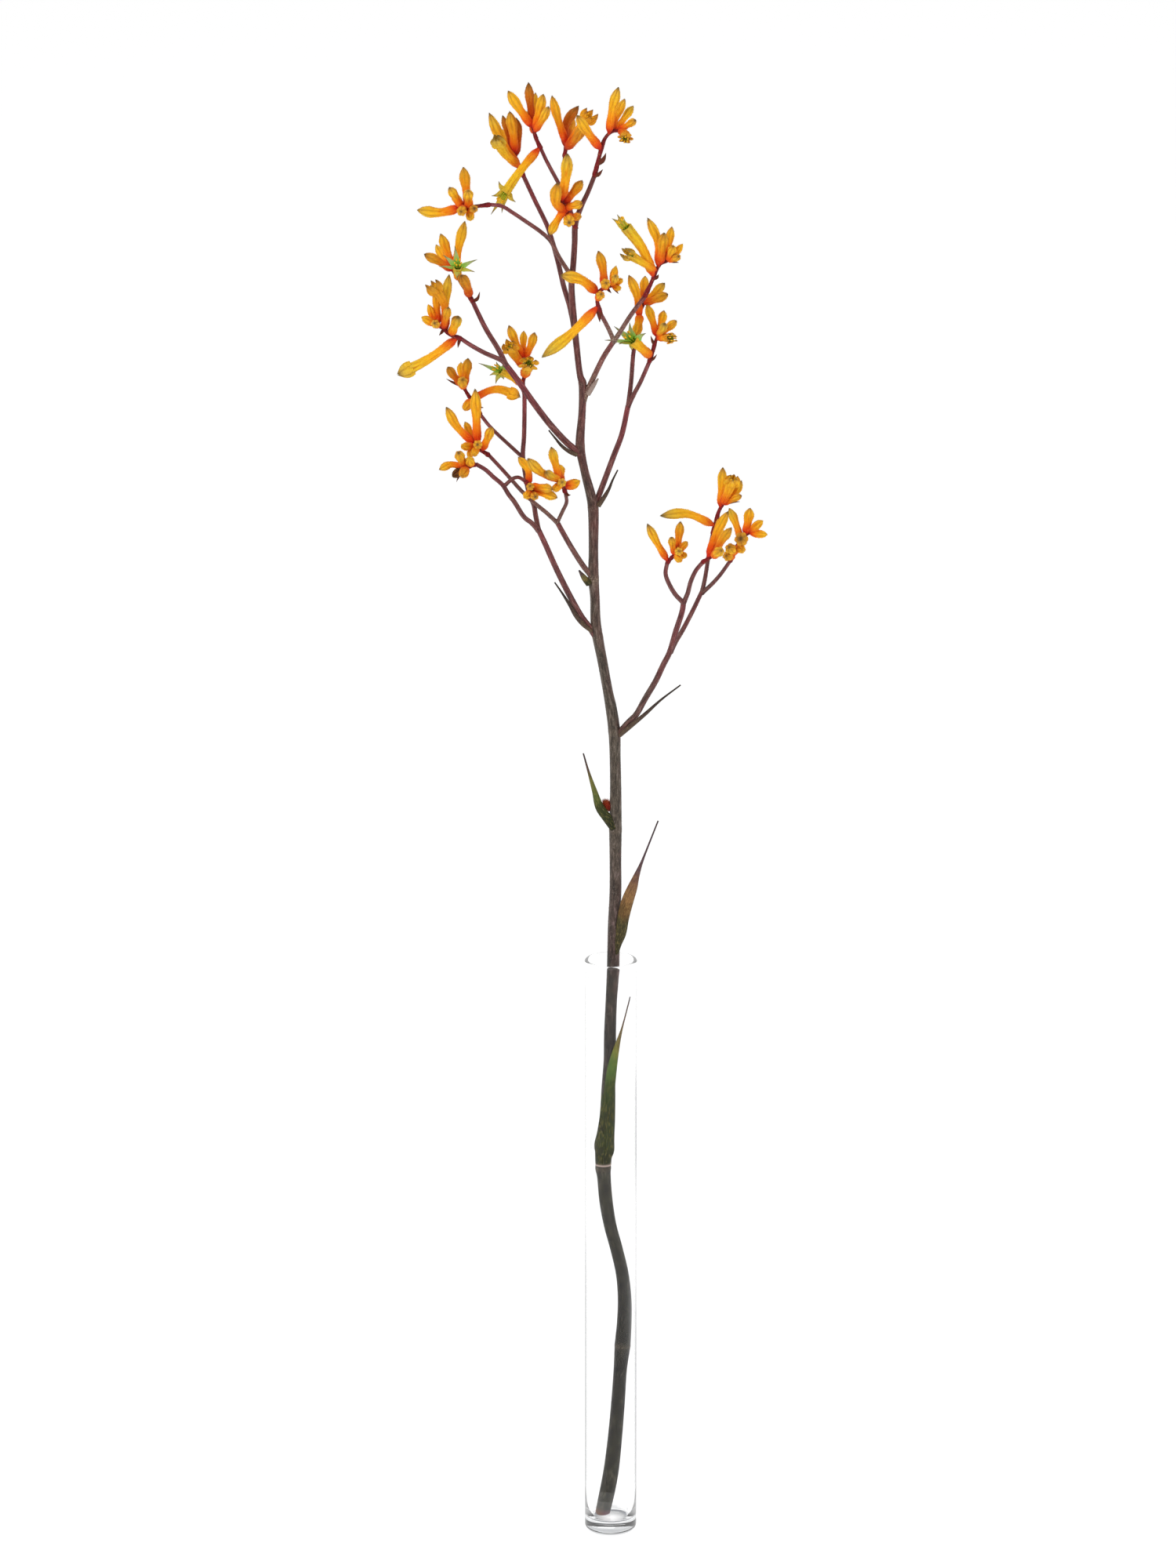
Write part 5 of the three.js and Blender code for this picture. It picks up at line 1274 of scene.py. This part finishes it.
def make_vase(wall, ends):
    """A straight glass cylinder with a thick base, a round heel and a fire-polished lip. Its look is how
    dark the painted shade line at the edge is, how much painted glow the glass has, which also sets its
    painted grey bands, and whether it is the foot's painted shade ring."""
    heel, fillet = VASE_HEEL_RADIUS, VASE_FLOOR_FILLET
    lip_radius = (VASE_OUTER_RADIUS - VASE_INNER_RADIUS) / 2 + VASE_LIP_BULGE
    middle = (VASE_OUTER_RADIUS + VASE_INNER_RADIUS) / 2
    outline = [(0, 0)]
    outline += arc(VASE_OUTER_RADIUS - heel, heel, heel, -90, 0, 10)
    outline += [(VASE_OUTER_RADIUS, z) for z in (4.5, 6, PAINTED_GREY_TOP, PAINTED_GREY_TOP + PAINTED_GREY_FADE, 12)]
    outline += [(VASE_OUTER_RADIUS, z) for z in np.linspace(20, VASE_HEIGHT - 2 * VASE_LIP_HEIGHT, 24)]
    outline += arc(middle, VASE_HEIGHT - lip_radius, lip_radius, -20, 200, 17)
    outline += [(VASE_INNER_RADIUS, z) for z in np.linspace(VASE_HEIGHT - 2 * VASE_LIP_HEIGHT, 30, 24)]
    for x, z in arc(0, 0, 1, 0, -90, 14):
        outline.append((VASE_INNER_RADIUS - fillet + fillet * x, VASE_FLOOR + VASE_FLOOR_RISE * (1 + z)))
    outline += [(0, VASE_FLOOR)]
    profile = np.array(outline)[1:-1] * MM
    angles = all_round(VASE_SECTORS)
    grid = np.stack([profile[:, :1] * np.cos(angles), profile[:, :1] * np.sin(angles),
                     np.broadcast_to(profile[:, 1:], (len(profile), VASE_SECTORS))], axis=-1)
    pile = Pile()
    groups = [group[:, ::-1] for group in grid_faces(len(profile), VASE_SECTORS)]
    poles = np.array([[0, 0, 0], [0, 0, VASE_FLOOR * MM]])
    looks = np.zeros((len(profile) * VASE_SECTORS + 2, 3))
    low = profile[:, 1:] < heel * MM
    outer = (profile[:, :1] > VASE_INNER_RADIUS * MM) | low
    # Painted shade: the dark line along the wall's left and right edges
    left, right = np.interp(grid[..., 2], *PAINTED_EDGE_SHADE_LEFT), np.interp(grid[..., 2], *PAINTED_EDGE_SHADE_RIGHT)
    looks[:-2, 0] = (outer * np.where(np.cos(angles) < 0, left, right)).ravel()
    height, lip = profile[:, 1:] / MM, VASE_HEIGHT - VASE_LIP_HEIGHT
    # Painted light: an emission mask on the base, the low sides and the lip, which also sets the base's
    # painted grey bands
    painted_grey_heights = (PAINTED_FOOT_SHADE_TOP, PAINTED_BASE_GLOW_FROM, PAINTED_GREY_TOP, PAINTED_GREY_TOP + PAINTED_GREY_FADE)
    glow = np.interp(height, painted_grey_heights, (0, PAINTED_BASE_GLOW, PAINTED_BASE_GLOW, 0))
    side_heights = (PAINTED_GREY_TOP, PAINTED_GREY_TOP + PAINTED_GREY_FADE, *PAINTED_LOW_GLOW_FADE, lip - 1, lip)
    painted_side_glow = np.interp(height, side_heights, (0, PAINTED_LOW_GLOW, PAINTED_LOW_GLOW, 0, 0, 1))
    sides = rising(np.abs(np.cos(angles)), SIDES_FROM, SIDES_FULL) * painted_side_glow
    looks[:-2, 1] = (outer * (glow + sides)).ravel()
    # Painted shade: a dark ring round the foot where it meets the floor
    looks[:-2, 2] = (low * (grid[..., 2] < PAINTED_FOOT_SHADE_TOP * MM)).ravel()
    zero = np.zeros(3)
    pile.add(np.vstack([grid.reshape(-1, 3), poles]), groups, looks, zero, zero)
    vase = pile.object("fine_vase", wall)
    vase.data.materials.append(ends)
    centres = np.empty(len(vase.data.polygons) * 3)
    vase.data.polygons.foreach_get("center", centres)
    heights = centres[2::3] / MM
    at_end = (heights < VASE_FLOOR + VASE_FLOOR_RISE) | (heights > lip)
    vase.data.polygons.foreach_set("material_index", at_end.astype(int))
    vase.visible_shadow = False
    return vase


class Nodes:
    """A material's node tree, built a node at a time."""

    def __init__(self, name):
        self.material = bpy.data.materials.new(name)
        self.material.use_nodes = True
        self.tree = self.material.node_tree
        self.shader = self.tree.nodes["Principled BSDF"]

    def node(self, kind, **settings):
        made = self.tree.nodes.new(kind)
        for key, value in settings.items():
            setattr(made, key, value)
        return made

    def link(self, source, target):
        self.tree.links.new(source, target)

    def attribute(self, name):
        return self.node("ShaderNodeAttribute", attribute_name=name).outputs["Vector"]

    def parts(self, vector):
        split = self.node("ShaderNodeSeparateXYZ")
        self.link(vector, split.inputs[0])
        return split.outputs

    def put(self, socket, value):
        """A number, a colour or another node's output goes into a socket."""
        if isinstance(value, bpy.types.NodeSocket):
            self.link(value, socket)
        elif isinstance(value, str):
            socket.default_value = colour(value)
        else:
            socket.default_value = value

    def math(self, operation, first, second):
        made = self.node("ShaderNodeMath", operation=operation)
        self.put(made.inputs[0], first)
        self.put(made.inputs[1], second)
        return made.outputs[0]

    def noise(self, vector, scale, detail=3.0, roughness=0.55):
        made = self.node("ShaderNodeTexNoise")
        self.link(vector, made.inputs["Vector"])
        made.inputs["Scale"].default_value = scale
        made.inputs["Detail"].default_value = detail
        made.inputs["Roughness"].default_value = roughness
        return made.outputs["Fac"]

    def ramp(self, factor, stops):
        made = self.node("ShaderNodeValToRGB")
        self.link(factor, made.inputs[0])
        elements = made.color_ramp.elements
        while len(elements) < len(stops):
            elements.new(0.5)
        for element, (place, shade) in zip(elements, stops):
            element.position = place
            element.color = colour(shade)
        return made.outputs["Color"]

    def mix(self, factor, first, second, blend="MIX"):
        made = self.node("ShaderNodeMix", data_type="RGBA", blend_type=blend)
        self.put(made.inputs["Factor"], factor)
        self.put(made.inputs[6], first)
        self.put(made.inputs[7], second)
        return made.outputs[2]

    def span(self, value, low, high, new_low=0.0, new_high=1.0):
        made = self.node("ShaderNodeMapRange")
        for socket, number in zip(made.inputs, (value, low, high, new_low, new_high)):
            self.put(socket, number)
        return made.outputs[0]

    def bump(self, height, strength, distance):
        made = self.node("ShaderNodeBump")
        made.inputs["Strength"].default_value = strength
        made.inputs["Distance"].default_value = distance
        self.link(height, made.inputs["Height"])
        self.link(made.outputs[0], self.shader.inputs["Normal"])

    def place(self):
        return self.node("ShaderNodeTexCoord").outputs["Object"]

    def finish(self, settings):
        """The shader's settings. A number or a plain colour is set on its own socket."""
        for name, value in settings.items():
            self.put(self.shader.inputs[name], value)
        return self.material


def colour(text):
    """A colour written as #rrggbb, as the light values that Blender works with."""
    shares = [int(text[i:i + 2], 16) / 255 for i in (1, 3, 5)]
    return [s / 12.92 if s <= 0.04045 else ((s + 0.055) / 1.055) ** 2.4 for s in shares] + [1.0]


def wool_material():
    """The felted skin of the flowers: red foot, gold body and an olive-brown tip."""
    m = Nodes("flower_wool")
    along, tone, stalk = m.parts(m.attribute("look"))
    hair, green, dark = m.parts(m.attribute("kind"))
    streaks = m.noise(m.attribute("grain"), 3.4)
    fibres = m.noise(m.attribute("grain"), 12, detail=2)
    mottle = m.noise(m.place(), 800, detail=4)
    blotch = m.noise(m.place(), 190)
    shifted = m.math("ADD", along, m.math("MULTIPLY", m.math("SUBTRACT", blotch, 0.5), 0.24))
    gold = m.ramp(shifted, [(0, "#a01620"), (0.1, "#d62c18"), (0.22, "#ee5a14"), (0.4, "#fa8f16"),
                            (0.56, "#ffb41c"), (0.84, "#ffc22a"), (0.95, "#e6a83a"), (1.0, "#a88446")])
    deep = m.ramp(shifted, [(0, "#861519"), (0.15, "#b02a16"), (0.4, "#c85012"), (0.65, "#d47418"),
                            (0.86, "#b86a22"), (1.0, "#6a4022")])
    olive = m.ramp(shifted, [(0, "#d23018"), (0.09, "#ec5c1a"), (0.17, "#f49a1c"), (0.36, "#fbc422"),
                             (0.7, "#eecb30"), (0.88, "#c4b04a"), (1.0, "#8a8250")])
    body = m.mix(m.span(tone, 0.05, 0.5), deep, gold)
    body = m.mix(m.span(tone, 0.5, 1.0), body, olive)
    body = m.mix(m.span(tone, 0.0, -0.6), body, "#3c1c18")
    body = m.mix(stalk, body, m.ramp(streaks, [(0.35, "#5e161e"), (0.6, "#8c2a34")]))
    body = m.mix(m.span(streaks, 0.5, 0.72, 0, 0.7), body, "#e08a30", "MULTIPLY")
    body = m.mix(m.span(fibres, 0.55, 0.7, 0, 0.2), body, "#c88c38", "MULTIPLY")
    body = m.mix(m.span(mottle, 0.56, 0.72, 0, 0.26), body, "#c48a40", "MULTIPLY")
    body = m.mix(m.span(mottle, 0.42, 0.28, 0, 0.14), body, "#ffe08a", "SCREEN")
    inside = m.ramp(along, [(0.0, "#3a6a14"), (0.7, "#5cb01e"), (0.77, "#8cc850"), (0.88, "#a4b478"),
                            (1.0, "#7c7c5c")])
    body = m.mix(green, body, inside)
    # The dark mark: darker seams and tips, and painted shade deep in a throat
    shade = m.ramp(along, [(0.0, "#7c1c10"), (0.4, "#b05a10"), (0.8, "#96681e"), (1.0, "#483620")])
    body = m.mix(dark, body, shade)
    fringe = m.ramp(along, [(0.0, "#c8503a"), (0.25, "#e08a40"), (0.5, "#e4b050"), (0.75, "#c8a858"),
                            (1.0, "#8a7c54")])
    body = m.mix(m.math("MULTIPLY", hair, 0.7), body, fringe)
    m.bump(m.math("ADD", fibres, m.noise(m.place(), 2600, detail=2)), 0.5, 0.3 * MM)
    return m.finish({"Base Color": body, "Roughness": 0.9, "Specular IOR Level": 0.12, "Sheen Weight": 0.12,
                     "Sheen Roughness": 0.5, "Sheen Tint": "#ffd890"})


# Heights in metres where the stem has no purple and all of it, at the lower and at the upper end
PURPLE_START = (0.21, 0.24)
PURPLE_END = (0.4, 0.33)


def stem_material():
    """The skin of the stem and branches: streaked green-brown to maroon under a pale down."""
    m = Nodes("stem_skin")
    _, stage, pale = m.parts(m.attribute("look"))
    hair, _, sawn = m.parts(m.attribute("kind"))
    beside, _, _ = m.parts(m.attribute("grain"))
    streaks = m.noise(m.attribute("grain"), 2.6, detail=5)
    fibres = m.noise(m.attribute("grain"), 9, detail=3)
    speckle = m.noise(m.place(), 1500, detail=3)
    patches = m.noise(m.place(), 55, detail=3)
    dark = m.ramp(streaks, [(0.3, "#0c0a06"), (0.46, "#1b1a10"), (0.58, "#29281c"), (0.72, "#4c483c")])
    brown = m.ramp(streaks, [(0.32, "#251b13"), (0.46, "#40362a"), (0.58, "#554a3e"), (0.72, "#7c7168")])
    maroon = m.ramp(streaks, [(0.3, "#3c1618"), (0.46, "#5d2829"), (0.6, "#77403c"), (0.75, "#96706a")])
    red = m.ramp(streaks, [(0.3, "#4a0f18"), (0.46, "#741f2a"), (0.6, "#90343c"), (0.75, "#b06a6a")])
    uneven = m.math("MULTIPLY", m.math("SUBTRACT", patches, 0.5), 0.5)
    where = m.math("ADD", m.math("ADD", stage, uneven), m.math("MULTIPLY", beside, -0.1))
    body = m.mix(m.span(where, -0.05, -0.4), dark, "#a8a498", "MULTIPLY")
    body = m.mix(m.span(where, 0.1, 0.3), body, brown)
    body = m.mix(m.span(where, 0.45, 0.85), body, maroon)
    body = m.mix(m.span(where, 1.05, 1.55), body, red)
    height = m.parts(m.place())[2]
    purple = m.math("MULTIPLY", m.span(height, *PURPLE_START), m.span(height, *PURPLE_END))
    body = m.mix(purple, body, "#ffe0f2", "MULTIPLY")
    down = m.mix(m.span(speckle, 0.4, 0.65), "#5c463c", "#a8957f")
    body = m.mix(m.math("MULTIPLY", pale, m.span(speckle, 0.25, 0.6, 0.3, 1.0)), body, down)
    body = m.mix(m.span(fibres, 0.5, 0.68, 0, 0.55), body, "#4a3c36", "MULTIPLY")
    body = m.mix(m.span(fibres, 0.44, 0.32, 0, 0.2), body, "#9a8c80")
    body = m.mix(m.span(speckle, 0.6, 0.72, 0, 0.3), body, "#a89890")
    body = m.mix(sawn, body, m.mix(m.span(beside, -0.4, 0.4), "#6a3f4c", "#5c3014"))
    body = m.mix(m.math("MULTIPLY", hair, 0.6), body, "#9c7468")
    m.bump(m.math("ADD", streaks, m.math("MULTIPLY", speckle, 0.4)), 0.45, 0.25 * MM)
    return m.finish({"Base Color": body, "Roughness": 0.62, "Specular IOR Level": 0.35, "Sheen Weight": 0.1,
                     "Sheen Roughness": 0.5})


def bract_material():
    """Papery bracts: green or brown at the base, purple towards the awn, with fine veins."""
    m = Nodes("bract_leaf")
    along, tone, rim = m.parts(m.attribute("look"))
    veins = m.noise(m.attribute("grain"), 9.0, detail=2)
    patches = m.noise(m.place(), 120, detail=3)
    shifted = m.math("ADD", along, m.math("MULTIPLY", m.math("SUBTRACT", patches, 0.5), 0.3))
    fresh = m.ramp(shifted, [(0, "#1f2210"), (0.3, "#2c3a18"), (0.48, "#46602a"), (0.62, "#6f7030"),
                             (0.76, "#5c4438"), (1.0, "#3a3038")])
    tawny = m.ramp(shifted, [(0, "#38331f"), (0.2, "#464026"), (0.32, "#6c4e2c"), (0.42, "#8e6840"),
                             (0.55, "#7a5644"), (0.68, "#58424c"), (1.0, "#40343c")])
    dry = m.ramp(shifted, [(0, "#5b4a3e"), (0.35, "#4b3a36"), (0.7, "#352b2c"), (1.0, "#2c2628")])
    body = m.mix(m.span(tone, 0.15, 0.55), fresh, tawny)
    body = m.mix(m.span(tone, 0.6, 0.9), body, dry)
    body = m.mix(m.span(veins, 0.5, 0.62, 0, 0.5), body, "#28241a")
    body = m.mix(m.span(veins, 0.44, 0.34, 0, 0.3), body, "#b09a5c")
    body = m.mix(rim, body, "#b7a39a")
    m.bump(veins, 0.5, 0.2 * MM)
    return m.finish({"Base Color": body, "Roughness": 0.6, "Specular IOR Level": 0.15})


GLASS_IOR = 1.48
# How brightly the vase's ends glow: painted light, an emission that stands in for the light that the glass
# gathers there
PAINTED_END_GLOW = 0.22
# The painted grey bands in the base, which stand in for its refraction: how flat they lie, how fine they
# are, and the height in metres where they end
PAINTED_BAND_SQUEEZE = (0.05, 0.05, 1.0)
PAINTED_BAND_SCALE = 420
PAINTED_BANDS_END = 9 * MM


def glass_material(name, tint):
    """Clear glass. A dark tint keeps the floor's mirror image off it, as a photographer's black card does.
    The thick base has painted grey bands that stand in for its refraction, and the glass also carries
    painted shade lines at its edges, a painted shade ring at its foot and a painted glow from its emission."""
    m = Nodes(name)
    line, glow, foot = m.parts(m.attribute("look"))
    edge = m.node("ShaderNodeLayerWeight").outputs["Facing"]
    squeezed = m.node("ShaderNodeVectorMath", operation="MULTIPLY")
    m.link(m.place(), squeezed.inputs[0])
    squeezed.inputs[1].default_value = PAINTED_BAND_SQUEEZE
    painted_bands = m.span(m.noise(squeezed.outputs[0], PAINTED_BAND_SCALE, detail=2), 0.35, 0.6)
    # Painted shade: a dark grey line where the wall is seen edge on
    clear = m.mix(m.math("MULTIPLY", line, m.span(edge, 0.6, 0.78)), "#ffffff", "#75787c")
    low = m.span(m.parts(m.place())[2], PAINTED_BANDS_END, PAINTED_GREY_TOP * MM)
    # Painted refraction: grey bands over the thick base, drawn where the glow mask is
    grey = m.math("MULTIPLY", m.span(glow, 0, PAINTED_BASE_GLOW), low)
    clear = m.mix(grey, clear, m.mix(painted_bands, "#b4b6b8", "#e4e5e6"))
    # Painted shade: the foot ring mixes the glass towards dark grey
    return m.finish({"Base Color": m.mix(foot, clear, "#3c4046"), "Roughness": 0.0, "IOR": GLASS_IOR,
                     # Painted light: the glow mask drives an emission
                     "Emission Color": m.mix(glow, "#000000", "#ffffff"), "Emission Strength": PAINTED_END_GLOW,
                     "Specular Tint": tint, "Transmission Weight": 1.0})


def paper_material(name, shade, glow):
    return Nodes(name).finish(
        {"Base Color": shade, "Roughness": 0.9, "Specular IOR Level": 0.1, "Emission Color": "#ffffff",
         "Emission Strength": glow})


def settle(piece, node):
    """The piece rides on the one body and stands for its node, which is hidden."""
    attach(piece, "root")
    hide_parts(node)


SENSOR_HEIGHT = 36


def add_camera():
    data = bpy.data.cameras.new("camera")
    data.sensor_fit = "VERTICAL"
    data.sensor_height = SENSOR_HEIGHT
    data.lens = SENSOR_HEIGHT * VIEW_DISTANCE / (FRAME_HEIGHT * MM_PER_PIXEL)
    data.clip_end = 100
    camera = new_object("camera", data)
    camera.location = EYE * MM
    camera.rotation_euler = (math.pi / 2 - VIEW_PITCH, 0, 0)
    bpy.context.scene.camera = camera


LAMP_TARGET = (0, 0, 0.45)


def add_lamp(name, place, size, watts):
    data = bpy.data.lights.new(name, "AREA")
    data.shape = "SQUARE"
    data.size = size
    data.energy = watts
    lamp = new_object(name, data)
    way = np.array(LAMP_TARGET) - np.array(place)
    lamp.location = place
    tip, turn = math.acos(-way[2] / np.linalg.norm(way)), math.atan2(way[1], way[0])
    lamp.rotation_euler = (tip, 0, turn - math.pi / 2)


FLOOR_SIZE = 60
FLOOR_DROP = 0.2 * MM
FLOOR_SHADE = "#8a8a8a"
FLOOR_GLOW = 0.8
# How bright the room is on the camera's side, and behind the vase
ROOM_LIGHT = 0.16
BACKDROP_LIGHT = 1.06


def add_stage():
    corner = FLOOR_SIZE / 2
    mesh = bpy.data.meshes.new("floor")
    corners = [(-corner, -corner), (corner, -corner), (corner, corner), (-corner, corner)]
    mesh.from_pydata([(x, y, -FLOOR_DROP) for x, y in corners], [], [(0, 1, 2, 3)])
    mesh.materials.append(paper_material("floor_pale", FLOOR_SHADE, FLOOR_GLOW))
    new_object("floor", mesh)
    world = bpy.data.worlds.new("studio")
    world.use_nodes = True
    nodes, links = world.node_tree.nodes, world.node_tree.links
    around = nodes.new("ShaderNodeTexCoord")
    split = nodes.new("ShaderNodeSeparateXYZ")
    fade = nodes.new("ShaderNodeMapRange")
    links.new(around.outputs["Generated"], split.inputs[0])
    links.new(split.outputs["Y"], fade.inputs["Value"])
    for socket, value in zip(fade.inputs[1:5], (-0.4, 0.4, ROOM_LIGHT, BACKDROP_LIGHT)):
        socket.default_value = value
    links.new(fade.outputs[0], nodes["Background"].inputs["Strength"])
    nodes["Background"].inputs["Color"].default_value = colour("#ffffff")
    bpy.context.scene.world = world
    bpy.context.scene.view_settings.view_transform = "Standard"
    add_lamp("key", (-1.7, -2.1, 2.4), 1.6, 58)
    add_lamp("fill", (2.2, -1.6, 1.6), 1.8, 28)
    add_lamp("back", (0.4, 2.4, 2.4), 1.6, 8)


add_camera()
add_stage()
glass = glass_material("vase_wall_glass", "#585858"), glass_material("vase_end_glass", "#f4f4f4")
settle(make_vase(*glass), "vase")
wool, skin, leaf = wool_material(), stem_material(), bract_material()
settle(make_main_stem(np.random.default_rng(7)).object("fine_main_stem", skin), "main_stem")
for seed, (name, runs) in enumerate(BRANCHES.items()):
    pile = make_branch(name, runs, np.random.default_rng(100 + seed))
    settle(pile.object("fine_" + name, skin), name)
for seed, (name, bract) in enumerate(BRACTS.items()):
    pile = make_bract(name, bract, np.random.default_rng(200 + seed))
    settle(pile.object("fine_" + name, leaf), name)
for seed, (name, head) in enumerate(HEADS.items()):
    settle(make_head(name, head, 300 + seed).object("fine_" + name, wool), name)
settle(make_axil_bud(np.random.default_rng(400)).object("fine_axil_bud", wool), "axil_bud")

bpy.context.view_layer.update()
